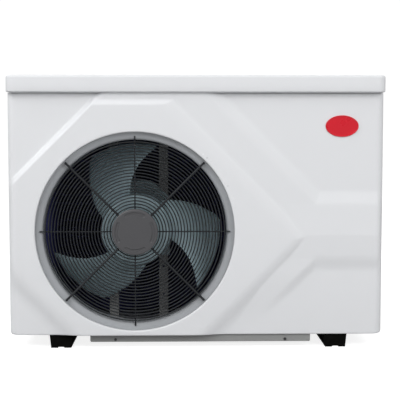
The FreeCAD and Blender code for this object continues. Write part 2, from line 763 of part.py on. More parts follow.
def motor_screws():
    screws = []
    for k in range(4):
        head = Part.makeCylinder(5.5, 5, around_fan(66, 45 + 90 * k, Y_FRONT + 219), Y)
        shank = Part.makeCylinder(3, 16, around_fan(66, 45 + 90 * k, Y_FRONT + 224), Y)
        screws.append(head.fuse(shank).removeSplitter())
    return screws


# ---------------------------------------------------------------- evaporator
def evaporator_fins():
    """The finned block: a long rear leg and a short left leg."""
    y1 = COIL_Y0 + COIL_T
    rear = box(COIL_X0 + 60, COIL_X1, COIL_Y0, y1, COIL_Z0, COIL_Z1)
    left = box(COIL_X0, COIL_X0 + COIL_T, LEFT_LEG_Y0, y1 - 60, COIL_Z0, COIL_Z1)
    centre = Vector(COIL_X0 + 60, y1 - 60, COIL_Z0)
    bend = Part.makeCylinder(60, COIL_Z1 - COIL_Z0, centre, Z)
    bend = bend.cut(Part.makeCylinder(60 - COIL_T, COIL_Z1 - COIL_Z0, centre, Z))
    bend = bend.common(box(COIL_X0, COIL_X0 + 60, y1 - 60, y1, COIL_Z0, COIL_Z1))
    return fused([rear, bend, left])


def coil_end_plates():
    y1 = COIL_Y0 + COIL_T
    rear = box(COIL_X1, COIL_X1 + 1.5, COIL_Y0 - 0.5, y1 + 4, COIL_Z0 - 2, COIL_Z1 + 30)
    left = box(COIL_X0 - 3, COIL_X0 + COIL_T + 3, LEFT_LEG_Y0 - 1.5, LEFT_LEG_Y0, COIL_Z0 - 2, COIL_Z1 + 30)
    return [rear, left]


def coil_return_bends():
    """Half-circle copper bends that join neighbouring tubes outside the end plates."""
    bends = []
    for k in range(BEND_COUNT):
        z = BEND_Z0 + BEND_R + 2 * TUBE_PITCH * k
        for row_y in (COIL_Y0 + 9, COIL_Y0 + 29):
            torus = Part.makeTorus(BEND_R, TUBE_R, Vector(COIL_X1 + 1.5, row_y, z), Y)
            bends.append(torus.common(box(COIL_X1 + 1.5, COIL_X1 + 30, 0, 200, 0, 700)))
        for row_x in (COIL_X0 + 9, COIL_X0 + 29):
            torus = Part.makeTorus(BEND_R, TUBE_R, Vector(row_x, LEFT_LEG_Y0 - 1.5, z), X)
            bends.append(torus.common(box(-500, 0, LEFT_LEG_Y0 - 30, LEFT_LEG_Y0 - 1.5, 0, 700)))
    return bends


# ---------------------------------------------------------------- compressor bay


def compressor():
    """Hermetic can with domed ends and three feet."""
    bottom = [(0, COMP_Z0 + 6), (40, COMP_Z0 + 6), (56, COMP_Z0 + 14), (COMP_R, COMP_Z0 + 26)]
    top = [(COMP_R, COMP_Z1 - 26), (54, COMP_Z1 - 10), (36, COMP_Z1), (0, COMP_Z1)]
    can = turned_z(bottom + top, COMP_X, COMP_Y)
    feet = []
    for k in range(3):
        a = math.radians(120 * k + 30)
        fx, fy = COMP_X + 74 * math.cos(a), COMP_Y + 74 * math.sin(a)
        arm = Part.makeBox(50, 30, 4, Vector(30, -15, 0))
        arm.rotate(Vector(0, 0, 0), Z, 120 * k + 30)
        arm.translate(Vector(COMP_X, COMP_Y, COMP_Z0 + 6))
        feet.append(arm.fuse(rod_z(17, COMP_Z0 + 6, COMP_Z0 + 10, fx, fy)))
    body = fused([can] + feet)
    for x, y in compressor_feet():
        body = body.cut(rod_z(6, COMP_Z0, COMP_Z0 + 20, x, y))
    return body


def compressor_feet():
    spots = []
    for k in range(3):
        a = math.radians(120 * k + 30)
        spots.append((COMP_X + 76 * math.cos(a), COMP_Y + 76 * math.sin(a)))
    return spots


def compressor_grommets():
    """Rubber bushes between the pan and the compressor's feet."""
    floor = LEG_TOP_Z + SHEET
    bushes = []
    for x, y in compressor_feet():
        bush = rod_z(14, floor, COMP_Z0 + 6, x, y)
        bushes.append(bush.cut(rod_z(4.2, floor - 1, COMP_Z0 + 10, x, y)))
    return bushes


def compressor_bolts():
    floor = LEG_TOP_Z + SHEET
    bolts = []
    for x, y in compressor_feet():
        stud = rod_z(4, floor, COMP_Z0 + 20, x, y)
        washer = rod_z(11, COMP_Z0 + 10, COMP_Z0 + 12, x, y)
        nut = rod_z(6.5, COMP_Z0 + 12, COMP_Z0 + 18, x, y)
        bolts.append(fused([stud, washer, nut]))
    return bolts


def terminal_cover():
    return turned_z([(0, COMP_Z1), (22, COMP_Z1), (22, COMP_Z1 + 16), (16, COMP_Z1 + 22), (0, COMP_Z1 + 22)],
                    COMP_X - 12, COMP_Y)


def accumulator():
    """Suction accumulator standing beside the compressor, with its elbow into the can."""
    x, y, r = ACC_X, COMP_Y, ACC_R
    z0, z1 = 110.0, 300.0
    can = turned_z([(0, z0), (16, z0), (r, z0 + 14), (r, z1 - 14), (16, z1), (0, z1)], x, y)
    elbow = pipe([(x, y, z0 + 2), (x, y, 88), (COMP_X + COMP_R, y, 88)], 7, 12)
    return fused([can, elbow])


def heat_exchanger_shell():
    """Upright plastic vessel with domed ends and two side ports towards the rear."""
    wall = 5.0
    outline_foot = [(0, HEX_Z0), (48, HEX_Z0), (HEX_R, HEX_Z0 + 14)]
    outline_head = [(HEX_R, HEX_Z1 - 20), (40, HEX_Z1), (0, HEX_Z1)]
    outer = turned_z(outline_foot + outline_head, HEX_X, HEX_Y)
    ports = [rod_y(30, HEX_Y, HEX_Y + HEX_R + 8, UNION_X, z) for z in UNIONS.values()]
    inner_foot = [(0, HEX_Z0 + wall), (44, HEX_Z0 + wall), (HEX_R - wall, HEX_Z0 + 18)]
    inner_head = [(HEX_R - wall, HEX_Z1 - 24), (38, HEX_Z1 - wall), (0, HEX_Z1 - wall)]
    inner = turned_z(inner_foot + inner_head, HEX_X, HEX_Y)
    bores = [rod_y(22, HEX_Y, HEX_Y + HEX_R + 20, UNION_X, z) for z in UNIONS.values()]
    body = fused([outer] + ports).cut(inner)
    for bore in bores:
        body = body.cut(bore)
    body = body.cut(rod_z(REFRIGERANT_R + 0.2, HEX_Z1 - 60, HEX_Z1 + 5, HEX_X - 26, HEX_Y))
    return body.cut(rod_z(REFRIGERANT_R + 0.2, HEX_Z1 - 60, HEX_Z1 + 5, HEX_X + 10, HEX_Y - 20))


def exchanger_stand():
    floor = LEG_TOP_Z + SHEET
    ring = rod_z(44, floor, HEX_Z0, HEX_X, HEX_Y)
    return ring.cut(rod_z(34, floor - 1, HEX_Z0 + 1, HEX_X, HEX_Y))


def titanium_coil():
    """Helical titanium tube inside the vessel."""
    height = COIL_TURNS * COIL_TURN_PITCH
    helix = Part.makeHelix(COIL_TURN_PITCH, height, COIL_HELIX_R)
    start = Vector(COIL_HELIX_R, 0, 0)
    section = circle(start, Vector(0, 1, COIL_TURN_PITCH / (2 * math.pi * COIL_HELIX_R)), COIL_TUBE_R)
    tube = Part.Wire(helix.Edges).makePipeShell([section], True, True)
    tube.translate(Vector(HEX_X, HEX_Y, HEX_Z0 + 45))
    return tube


def water_stub(z):
    """Threaded stub from the vessel's port out through the rear panel."""
    y0, y1 = HEX_Y + HEX_R + 8, Y_REAR + 24
    tube = rod_y(30, y0, y1, UNION_X, z)
    thread = rod_y(35, Y_REAR + 8, y1, UNION_X, z)
    return fused([tube, thread]).cut(rod_y(22, y0 - 1, y1 + 1, UNION_X, z))


def union_tail(z):
    """Plain tail with the glue socket for the pool pipe."""
    y0, y1 = Y_REAR + 24.2, HALF_DEPTH
    flange = rod_y(34.5, y0, y0 + 4.5, UNION_X, z)
    barrel = rod_y(31, y0, y1, UNION_X, z)
    socket = rod_y(PIPE_SOCKET_R, y1 - PIPE_SOCKET_L, y1 + 1, UNION_X, z)
    return fused([flange, barrel]).cut(socket).cut(rod_y(22, y0 - 1, y1, UNION_X, z))


def union_nut(z):
    """Ribbed ring nut that clamps the tail on the stub; it turns freely about the pipe's axis."""
    y0, y1 = Y_REAR + 10.0, Y_REAR + 36.0
    body = rod_y(43, y0, y1, UNION_X, z)
    ribs = []
    for k in range(NUT_RIBS):
        a = 2 * math.pi * k / NUT_RIBS
        ribs.append(rod_y(4.5, y0 + 2, y1 - 2, UNION_X + 42 * math.cos(a), z + 42 * math.sin(a)))
    body = fused([body] + ribs)
    body = body.cut(rod_y(35.3, y0 - 1, Y_REAR + 29.2, UNION_X, z))
    return body.cut(rod_y(31.4, y0, y1 + 1, UNION_X, z))


def cable_gland():
    """Strain-relief gland for the mains cable, empty."""
    x, z = GLAND_X, GLAND_Z
    barrel = rod_y(10, Y_REAR - 12, Y_REAR + 4, x, z)
    inner_nut = hexagon_y(26, Y_REAR - 9, Y_REAR - SIDE_T, x, z)
    outer_nut = hexagon_y(26, Y_REAR, Y_REAR + 8, x, z)
    profile = [(0, 8), (12, 8), (12, 18), (9.5, 24), (0, 24)]
    dome = turned_y([(r, Y_REAR + d) for r, d in profile], x, z)
    body = fused([barrel, inner_nut, outer_nut, dome])
    return body.cut(rod_y(GLAND_R, Y_REAR - 15, Y_REAR + 30, x, z))


def four_way_valve():
    """Reversing valve: a capped barrel with one port above and three below, and its pilot."""
    x, y, z = VALVE_X, VALVE_Y, VALVE_Z
    barrel = rod_x(14, x - 50, x + 50, y, z)
    ports = [rod_z(REFRIGERANT_R + 1, z, z + 24, x, y)]
    ports += [rod_z(REFRIGERANT_R + 1, z - 24, z, x + d, y) for d in (-30, 0, 30)]
    pilot = rod_x(5, x - 30, x + 30, y - 20, z)
    link = rod_y(4, y - 22, y, x, z)
    return fused([barrel] + ports + [pilot, link])


def valve_solenoid():
    """Solenoid on the end of the valve's pilot."""
    x, y, z = VALVE_X + 30, VALVE_Y - 20, VALVE_Z
    body = box(x, x + 30, y - 12, y + 4, z - 14, z + 14)
    return body.cut(rod_x(5.1, x - 1, x + 20, y, z))


def discharge_pipe():
    """Compressor top to the valve's upper port."""
    start = (COMP_X + 26, COMP_Y, COMP_Z1)
    rise = (COMP_X + 26, COMP_Y, 460)
    over = (VALVE_X, VALVE_Y, 460)
    return pipe([start, rise, over, (VALVE_X, VALVE_Y, VALVE_Z + 24)], REFRIGERANT_R, 14)


def suction_pipe():
    """Valve's middle lower port to the accumulator's top."""
    z = VALVE_Z - 24
    return pipe(
        [(VALVE_X, VALVE_Y, z), (VALVE_X, VALVE_Y, 345), (ACC_X, COMP_Y, 345), (ACC_X, COMP_Y, 300)],
        REFRIGERANT_R,
        14,
    )


def condenser_pipe():
    """Valve's right lower port to the vessel."""
    z = VALVE_Z - 24
    x1, y1 = HEX_X - 26, HEX_Y
    return pipe(
        [(VALVE_X + 30, VALVE_Y, z), (VALVE_X + 30, VALVE_Y, 350), (VALVE_X + 30, VALVE_Y + 46, 350),
         (VALVE_X + 30, VALVE_Y + 46, 530), (x1, y1, 530), (x1, y1, HEX_Z1 - 55)],
        REFRIGERANT_R,
        12,
    )


def evaporator_pipe():
    """Valve's left lower port to the coil's header."""
    x, y = VALVE_X - 30, VALVE_Y
    path = [(x, y, VALVE_Z - 24), (x, y, 346), (HEADER_X, y + 40, 346), (HEADER_X, HEADER_Y, 346)]
    return pipe(path, REFRIGERANT_R, 12)


def coil_header():
    """Upright gas header beside the end plate."""
    header = rod_z(8, 80, 520, HEADER_X, HEADER_Y)
    return header.cut(rod_y(REFRIGERANT_R, HEADER_Y - 20, HEADER_Y, HEADER_X, 346))


def liquid_pipe():
    """Vessel to the expansion valve."""
    x, y = HEX_X + 10, HEX_Y - 20
    rise = [(x, y, HEX_Z1 - 55), (x, y, 545), (x - 30, -40, 545)]
    drop = [(EEV_X, EEV_Y, 545), (EEV_X, EEV_Y, EEV_Z + 30)]
    return pipe(rise + drop, REFRIGERANT_R, 12)


def expansion_valve():
    """Electronic expansion valve with its stepper head to the front."""
    x, y, z = EEV_X, EEV_Y, EEV_Z
    body = rod_z(10, z - 15, z + 30, x, y)
    head = rod_y(16, y - 46, y - 8, x, z + 5)
    return fused([body, head])


def filter_drier():
    z1 = EEV_Z - 15
    profile = [(0, -70), (6, -70), (13, -60), (13, -14), (6, 0), (0, 0)]
    return turned_z([(r, z1 + d) for r, d in profile], EEV_X, EEV_Y)


def distributor_pipe():
    """Drier to the coil's lower inlet."""
    z0 = EEV_Z - 85
    drop = [(EEV_X, EEV_Y, z0), (EEV_X, EEV_Y, 270), (EEV_X + 40, EEV_Y, 270), (EEV_X + 40, -108, 66)]
    run = [(300, 20, 66), (190, 40, 50), (158, 148, 50), (COIL_X1 + 1.5, 148, 50)]
    return pipe(drop + run, 4.0, 12)


# ---------------------------------------------------------------- electrics


def electrical_tray():
    """Sheet tray behind the front panel, open towards the front."""
    outside = box(TRAY_X0, TRAY_X1, TRAY_Y0, TRAY_Y1, TRAY_Z0, TRAY_Z1)
    x0, x1 = TRAY_X0 + SHEET, TRAY_X1 - SHEET
    z0, z1 = TRAY_Z0 + SHEET, TRAY_Z1 - SHEET
    return outside.cut(box(x0, x1, TRAY_Y0 - 1, TRAY_Y1 - SHEET, z0, z1))


def tray_cover():
    return box(TRAY_X0, TRAY_X1, TRAY_Y0 - 1.2, TRAY_Y0, TRAY_Z0, TRAY_Z1)


def control_board():
    back = TRAY_Y1 - SHEET
    board = box(TRAY_X0 + 12, TRAY_X0 + 190, back - 7.6, back - 6, TRAY_Z0 + 30, TRAY_Z1 - 30)
    parts = [board]
    components = ((20, 40, 26, 26, 10), (60, 44, 40, 20, 8), (120, 50, 18, 40, 12), (30, 110, 60, 16, 7))
    for x, z, w, h, t in components:
        x0, z0 = TRAY_X0 + 12 + x, TRAY_Z0 + 30 + z
        parts.append(box(x0, x0 + w, back - 7.6 - t, back - 7, z0, z0 + h))
    for x in (24, 178):
        for z in (40, 180):
            parts.append(rod_y(3, back - 7, back, TRAY_X0 + x, TRAY_Z0 + z))
    return fused(parts)


def terminal_block():
    back = TRAY_Y1 - SHEET
    x0, z0 = TRAY_X1 - 100, TRAY_Z0 + 20
    body = box(x0, x0 + 84, back - 18, back, z0, z0 + 26)
    for k in range(6):
        body = body.cut(box(x0 + 4 + 13.2 * k, x0 + 14 + 13.2 * k, back - 19, back - 8, z0 + 5, z0 + 21))
    return body


def run_capacitor():
    back = TRAY_Y1 - SHEET
    x, z = TRAY_X1 - 56, TRAY_Z0 + 150
    return rod_x(12, x - 40, x + 40, back - 12.2, z)


def power_reactor():
    back = TRAY_Y1 - SHEET
    x0, z0 = TRAY_X1 - 100, TRAY_Z0 + 70
    core = box(x0, x0 + 70, back - 20, back, z0, z0 + 44)
    return core.cut(box(x0 + 14, x0 + 56, back - 21, back - 14, z0 + 10, z0 + 34))


# ---------------------------------------------------------------- controller


def controller_housing():
    """Tub set into the right side panel, with a flange outside and two hinge lugs."""
    y0, y1 = CONTROL_Y - CONTROL_W / 2 + 0.3, CONTROL_Y + CONTROL_W / 2 - 0.3
    z0, z1 = CONTROL_Z - CONTROL_H / 2 + 0.3, CONTROL_Z + CONTROL_H / 2 - 0.3
    x = SIDE_X
    tub = box(x - 30, x, y0, y1, z0, z1)
    flange = box(x, x + 1.5, y0 - 8, y1 + 8, z0 - 8, z1 + 12)
    recess = box(CONTROL_FACE, x + 2, y0 + 3, y1 - 3, z0 + 3, z1 - 3)
    rear_room = box(x - 28, CONTROL_FACE - 3, y0 + 3, y1 - 3, z0 + 3, z1 - 3)
    body = tub.fuse(flange).removeSplitter().cut(recess).cut(rear_room)
    lugs = []
    for y in (CONTROL_Y - 60, CONTROL_Y + 56):
        lug = box(x + 1.5, HINGE_X, y, y + 4, HINGE_Z - HINGE_R, HINGE_Z + HINGE_R)
        lugs.append(fused([lug, rod_y(HINGE_R, y, y + 4, HINGE_X, HINGE_Z)]))
    body = fused([body] + lugs).cut(rod_y(1.0, CONTROL_Y - 80, CONTROL_Y + 80, HINGE_X, HINGE_Z))
    for y, z in BUTTON_SPOTS:
        body = body.cut(rod_x(BUTTON_R + 0.3, CONTROL_FACE - 4, CONTROL_FACE + 1, y, z))
    return body


def button(y, z):
    """Round key: a stem through the housing, a cap in front and a retaining flange behind."""
    stem = rod_x(BUTTON_R, CONTROL_FACE - 3.4, CONTROL_FACE + 4, y, z)
    back = rod_x(BUTTON_R + 1.5, CONTROL_FACE - 5.4, CONTROL_FACE - 3.4, y, z)
    return fused([stem, back])


def display_window():
    x = CONTROL_FACE
    return box(x, x + 2, CONTROL_Y - 46, CONTROL_Y + 46, CONTROL_Z - 8, CONTROL_Z + 32)


def hinge_pin():
    return rod_y(1.0, CONTROL_Y - 60, CONTROL_Y + 60, HINGE_X, HINGE_Z)


def controller_door():
    """Flap over the controller, hung from a pin along its upper edge."""
    y0, y1 = CONTROL_Y - CONTROL_W / 2 - 5, CONTROL_Y + CONTROL_W / 2 + 5
    x0 = SIDE_X + 2.0
    leaf = box(x0, x0 + 2.4, y0, y1, CONTROL_Z - CONTROL_H / 2 - 5, HINGE_Z - 3.0)
    barrel = rod_y(HINGE_R, CONTROL_Y - 55.5, CONTROL_Y + 55.5, HINGE_X, HINGE_Z)
    web = box(x0, x0 + 2.4, CONTROL_Y - 55.5, CONTROL_Y + 55.5, HINGE_Z - 4, HINGE_Z)
    body = fused([leaf, barrel, web])
    return body.cut(rod_y(1.1, CONTROL_Y - 80, CONTROL_Y + 80, HINGE_X, HINGE_Z))


# ---------------------------------------------------------------- build
def build():
    os.makedirs("parts", exist_ok=True)
    save("front_panel", front_panel())
    save("badge", badge())
    save("top_cover", top_cover())
    save("base_pan", base_pan())
    save("drain_nipple", drain_nipple())
    save("front_rail", front_rail())
    save("left_leg", leg(LEG_LEFT_X))
    save("right_leg", leg(LEG_RIGHT_X))
    save("leg_bolts", *leg_bolts())
    save("left_side_panel", left_side_panel())
    save("right_side_panel", right_side_panel())
    save("left_handle_cup", handle_cup(-1, LEFT_HANDLE_Y))
    save("right_handle_cup", handle_cup(1, RIGHT_HANDLE_Y))
    save("rear_service_panel", rear_service_panel())
    save("rear_coil_guard", rear_coil_guard())
    save("partition", partition())
    save("panel_screws", *panel_screws())

    save("fan_shroud", fan_shroud())
    save("fan_grille", fan_grille())
    save("grille_screws", *grille_screws())
    save("grille_cap", grille_cap())
    save("fan_impeller", fan_impeller())
    save("motor_shaft", motor_shaft())
    save("shaft_nut", shaft_nut())
    save("fan_motor", fan_motor())
    save("motor_bracket", *motor_bracket())
    save("motor_plate", motor_plate())
    save("motor_screws", *motor_screws())

    save("evaporator_fins", evaporator_fins())
    save("coil_end_plates", *coil_end_plates())
    save("coil_return_bends", *coil_return_bends())

    save("compressor", compressor())
    save("compressor_grommets", *compressor_grommets())
    save("compressor_bolts", *compressor_bolts())
    save("compressor_terminal_cover", terminal_cover())
    save("accumulator", accumulator())
    save("heat_exchanger_shell", heat_exchanger_shell())
    save("exchanger_stand", exchanger_stand())
    save("titanium_coil", titanium_coil())
    save("four_way_valve", four_way_valve())
    save("valve_solenoid", valve_solenoid())
    save("expansion_valve", expansion_valve())
    gas_pipes = [discharge_pipe(), suction_pipe(), condenser_pipe(), evaporator_pipe(), coil_header()]
    liquid_pipes = [liquid_pipe(), distributor_pipe(), filter_drier()]
    save("refrigerant_pipes", *gas_pipes, *liquid_pipes)
    save("water_stubs", *[water_stub(z) for z in UNIONS.values()])
    save("union_tails", *[union_tail(z) for z in UNIONS.values()])
    for name, z in UNIONS.items():
        save(f"{name}_union_nut", union_nut(z))
    save("cable_gland", cable_gland())

    save("electrical_tray", electrical_tray())
    save("tray_cover", tray_cover())
    save("control_board", control_board())
    save("tray_components", terminal_block(), run_capacitor(), power_reactor())
    save("controller_housing", controller_housing())
    save("display_window", display_window())
    save("controller_hinge_pin", hinge_pin())
    save("controller_door", controller_door())
    for name, (y, z) in zip(BUTTON_NAMES, BUTTON_SPOTS):
        save(f"{name}_button", button(y, z))


build()
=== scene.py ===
"""Looks of the pool heat pump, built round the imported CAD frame. Lengths below are millimetres."""

import json
import math

import bmesh
import bpy
import numpy as np
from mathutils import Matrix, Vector
from mathutils.geometry import delaunay_2d_cdt


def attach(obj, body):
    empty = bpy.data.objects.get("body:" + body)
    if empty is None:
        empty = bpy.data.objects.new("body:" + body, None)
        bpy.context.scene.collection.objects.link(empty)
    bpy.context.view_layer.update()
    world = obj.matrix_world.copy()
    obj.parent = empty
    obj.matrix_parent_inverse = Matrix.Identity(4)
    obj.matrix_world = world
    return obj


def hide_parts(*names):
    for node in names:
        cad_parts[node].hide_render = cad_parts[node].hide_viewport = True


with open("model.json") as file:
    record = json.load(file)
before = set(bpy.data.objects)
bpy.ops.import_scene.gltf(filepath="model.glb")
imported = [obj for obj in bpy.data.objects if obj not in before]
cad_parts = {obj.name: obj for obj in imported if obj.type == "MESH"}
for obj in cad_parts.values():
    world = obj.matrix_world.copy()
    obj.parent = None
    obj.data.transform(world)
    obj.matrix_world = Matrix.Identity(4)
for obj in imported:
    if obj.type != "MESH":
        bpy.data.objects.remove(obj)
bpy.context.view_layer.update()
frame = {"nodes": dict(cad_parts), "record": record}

MM = 0.001
TAU = 2 * math.pi

# ---------------------------------------------------------------- dimensions shared with the CAD
FRONT_HALF_W = 500.0
COVER_HALF_W = 501.5
Y_FRONT = -232.0
Y_REAR = 180.0
RELIEF = 14.0
BASE_Y = Y_FRONT + RELIEF
PANEL_BACK = BASE_Y + 56.0
Z_SKIRT = 36.0
Z_PANEL_TOP = 681.5
CORNER_R = 20.0
FAN_X, FAN_Z = -163.0, 314.0
OPENING_R = 264.5
ORIFICE_R = 244.0
GRILLE_Y = Y_FRONT + 10.0
CAP_R = 61.5
FAN_R = 234.0
HUB_R = 96.0

# ---------------------------------------------------------------- camera and light
scene = bpy.context.scene
scene.view_settings.view_transform = "Standard"
scene.view_settings.look = "None"

camera_data = bpy.data.cameras.new("camera")
camera_data.lens = 85.27
camera_data.sensor_width = 36.0
camera = bpy.data.objects.new("camera", camera_data)
scene.collection.objects.link(camera)
camera.location = Vector((-43.2, Y_FRONT - 2500.0, 567.3)) * MM
camera.rotation_euler = (math.radians(90 - 3.852), 0, math.radians(-1.2055))
scene.camera = camera


def area_light(name, place, target, size, power):
    """A rectangular lamp aimed at a point: place, target and size in metres, power in watts."""
    data = bpy.data.lights.new(name, "AREA")
    data.shape = "RECTANGLE"
    data.size, data.size_y = size
    data.energy = power
    lamp = bpy.data.objects.new(name, data)
    lamp.location = place
    lamp.rotation_euler = (Vector(target) - Vector(place)).to_track_quat("-Z", "Y").to_euler()
    scene.collection.objects.link(lamp)
    return lamp


AIM = (0, 0, 0.35)
area_light("key_upper_left", (-2.6, -5.2, 5.4), AIM, (3.2, 3.2), 165)
fill = area_light("fill_upper_right", (3.2, -4.5, 3.2), AIM, (2.5, 2.5), 113)
fill.visible_glossy = False  # its highlight would burn out the cover's top seen from behind
area_light("facet_glow", (-3.45, -1.45, 3.9), (0, 0, 0.45), (2.5, 2.5), 88)
area_light("rear_soft", (0.6, 3.4, 2.4), AIM, (2.4, 1.6), 30)


def studio_world(ambient, backdrop):
    """A plain white surround: dim as a light source, bright where it is seen directly."""
    world = bpy.data.worlds.new("studio")
    world.use_nodes = True
    tree = world.node_tree
    dim = tree.nodes["Background"]
    dim.inputs["Color"].default_value = (1, 1, 1, 1)
    dim.inputs["Strength"].default_value = ambient
    bright = tree.nodes.new("ShaderNodeBackground")
    bright.inputs["Strength"].default_value = backdrop
    path = tree.nodes.new("ShaderNodeLightPath")
    mix = tree.nodes.new("ShaderNodeMixShader")
    tree.links.new(path.outputs["Is Camera Ray"], mix.inputs["Fac"])
    tree.links.new(dim.outputs["Background"], mix.inputs[1])
    tree.links.new(bright.outputs["Background"], mix.inputs[2])
    tree.links.new(mix.outputs["Shader"], tree.nodes["World Output"].inputs["Surface"])
    bright.inputs["Color"].default_value = (1, 1, 1, 1)
    scene.world = world


AMBIENT, BACKDROP = 0.39, 1.05
studio_world(AMBIENT, BACKDROP)


# ---------------------------------------------------------------- materials
class Nodes:
    """A thin wrapper round a material's node tree."""

    def __init__(self, name):
        self.material = bpy.data.materials.new(name)
        self.material.use_nodes = True
        self.tree = self.material.node_tree
        self.shader = self.tree.nodes["Principled BSDF"]
        self.place = self.add("ShaderNodeTexCoord").outputs["Object"]

    def add(self, kind, **values):
        node = self.tree.nodes.new(kind)
        for key, value in values.items():
            setattr(node, key, value)
        return node

    def link(self, output, socket):
        self.tree.links.new(output, socket)

    def set(self, **values):
        for key, value in values.items():
            self.shader.inputs[key.replace("_", " ")].default_value = value
        return self

    def color(self, output):
        self.link(output, self.shader.inputs["Base Color"])

    def roughness(self, output):
        self.link(output, self.shader.inputs["Roughness"])

    def noise(self, scale, detail=4.0, rough=0.5):
        node = self.add("ShaderNodeTexNoise")
        node.inputs["Scale"].default_value = scale
        node.inputs["Detail"].default_value = detail
        node.inputs["Roughness"].default_value = rough
        self.link(self.place, node.inputs["Vector"])
        return node.outputs["Fac"]

    def cells(self, scale):
        node = self.add("ShaderNodeTexVoronoi")
        node.inputs["Scale"].default_value = scale
        self.link(self.place, node.inputs["Vector"])
        return node.outputs["Color"]

    def ramp(self, value, stops):
        node = self.add("ShaderNodeValToRGB")
        ramp = node.color_ramp
        while len(ramp.elements) < len(stops):
            ramp.elements.new(0.5)
        for element, (at, color) in zip(ramp.elements, stops):
            element.position = at
            element.color = (*color, 1)
        self.link(value, node.inputs["Fac"])
        return node.outputs["Color"]

    def mapped(self, value, low, high, start=0.3, end=0.7):
        node = self.add("ShaderNodeMapRange")
        for key, number in (("From Min", start), ("From Max", end), ("To Min", low), ("To Max", high)):
            node.inputs[key].default_value = number
        self.link(value, node.inputs["Value"])
        return node.outputs["Result"]

    def bump(self, height, strength, distance):
        node = self.add("ShaderNodeBump")
        node.inputs["Strength"].default_value = strength
        node.inputs["Distance"].default_value = distance
        self.link(height, node.inputs["Height"])
        if self.shader.inputs["Normal"].is_linked:
            self.link(self.shader.inputs["Normal"].links[0].from_socket, node.inputs["Normal"])
        self.link(node.outputs["Normal"], self.shader.inputs["Normal"])


def shade(color, factor):
    return tuple(min(1.0, c * factor) for c in color)


def drifting(m, value, color, drift):
    """A base colour that wanders a little either side of its own value."""
    m.color(m.ramp(value, ((0.3, shade(color, 1 - drift)), (0.7, shade(color, 1 + drift)))))


def moulded(name, color, roughness=0.4, grain=900.0, depth=0.00006, drift=0.03, gloss=0.5):
    """Moulded plastic: fine grain, slow colour drift and uneven gloss."""
    m = Nodes(name)
    drifting(m, m.noise(7.0, 3.0), color, drift)
    m.roughness(m.mapped(m.noise(40.0, 5.0), roughness - 0.05, roughness + 0.06))
    m.bump(m.noise(grain, 2.0), 0.35, depth)
    m.set(Specular_IOR_Level=gloss)
    return m.material


def painted(name, color, roughness=0.32, peel=260.0, depth=0.00008, drift=0.025):
    """Powder-coated steel: orange-peel bump over a slow drift of colour."""
    m = Nodes(name)
    drifting(m, m.noise(4.0, 4.0), color, drift)
    m.roughness(m.mapped(m.noise(60.0, 3.0), roughness - 0.05, roughness + 0.07))
    m.bump(m.noise(peel, 3.0), 0.4, depth)
    return m.material


def galvanised(name, color=(0.42, 0.43, 0.44), roughness=0.42, metallic=0.85):
    """Zinc-coated sheet with crystal spangle."""
    m = Nodes(name)
    spangle = m.cells(120.0)
    grey = m.add("ShaderNodeRGBToBW")
    m.link(spangle, grey.inputs["Color"])
    value = grey.outputs["Val"]
    m.color(m.ramp(value, ((0.1, shade(color, 0.82)), (0.9, shade(color, 1.15)))))
    m.roughness(m.mapped(value, roughness - 0.08, roughness + 0.1, 0.1, 0.9))
    m.bump(m.noise(500.0, 3.0), 0.3, 0.00005)
    m.set(Metallic=metallic)
    return m.material


def drawn_metal(name, color, roughness=0.3):
    """Bare metal with specks and slight tarnish."""
    m = Nodes(name)
    specks = m.noise(300.0, 5.0, 0.6)
    tarnish = m.noise(18.0, 5.0)
    m.color(m.ramp(tarnish, ((0.3, shade(color, 0.7)), (0.65, color))))
    m.roughness(m.mapped(specks, roughness - 0.08, roughness + 0.15))
    m.bump(specks, 0.25, 0.00003)
    m.set(Metallic=1.0)
    return m.material


def rubbery(name, color, roughness):
    """Dull rubber, paler in dusty patches."""
    m = Nodes(name)
    m.set(Specular_IOR_Level=0.1)
    m.color(m.ramp(m.noise(30.0, 6.0), ((0.3, color), (0.75, shade(color, 2.2)))))
    m.roughness(m.mapped(m.noise(90.0, 4.0), roughness - 0.1, roughness + 0.12))
    m.bump(m.noise(700.0, 3.0), 0.5, 0.0001)
    return m.material


CABINET = (0.775, 0.785, 0.805)


def cabinet_plastic():
    """White moulded cabinet: satin, with grain and a faint dulling towards the ground."""
    m = Nodes("cabinet_white")
    split = m.add("ShaderNodeSeparateXYZ")
    m.link(m.place, split.inputs["Vector"])
    low = m.mapped(split.outputs["Z"], 1.0, 0.0, 0.04, 0.30)
    cloud = m.noise(5.0, 4.0)
    mix = m.add("ShaderNodeMath", operation="MULTIPLY")
    m.link(low, mix.inputs[0])
    m.link(cloud, mix.inputs[1])
    m.color(m.ramp(mix.outputs["Value"], ((0.0, CABINET), (0.9, shade(CABINET, 0.95)))))
    m.roughness(m.mapped(m.noise(45.0, 4.0), 0.34, 0.44))
    m.bump(m.noise(1100.0, 2.0), 0.3, 0.00004)
    m.bump(m.noise(9.0, 2.0), 0.12, 0.0006)
    m.set(Specular_IOR_Level=0.45)
    return m.material


def tinted_pane(name, color, alpha, roughness=0.08):
    """Clear tinted plastic: a thin see-through sheet."""
    m = Nodes(name)
    m.color(m.ramp(m.noise(12.0, 3.0), ((0.3, color), (0.7, shade(color, 1.25)))))
    m.roughness(m.mapped(m.noise(25.0, 4.0), roughness - 0.03, roughness + 0.05))
    m.set(Alpha=alpha)
    return m.material


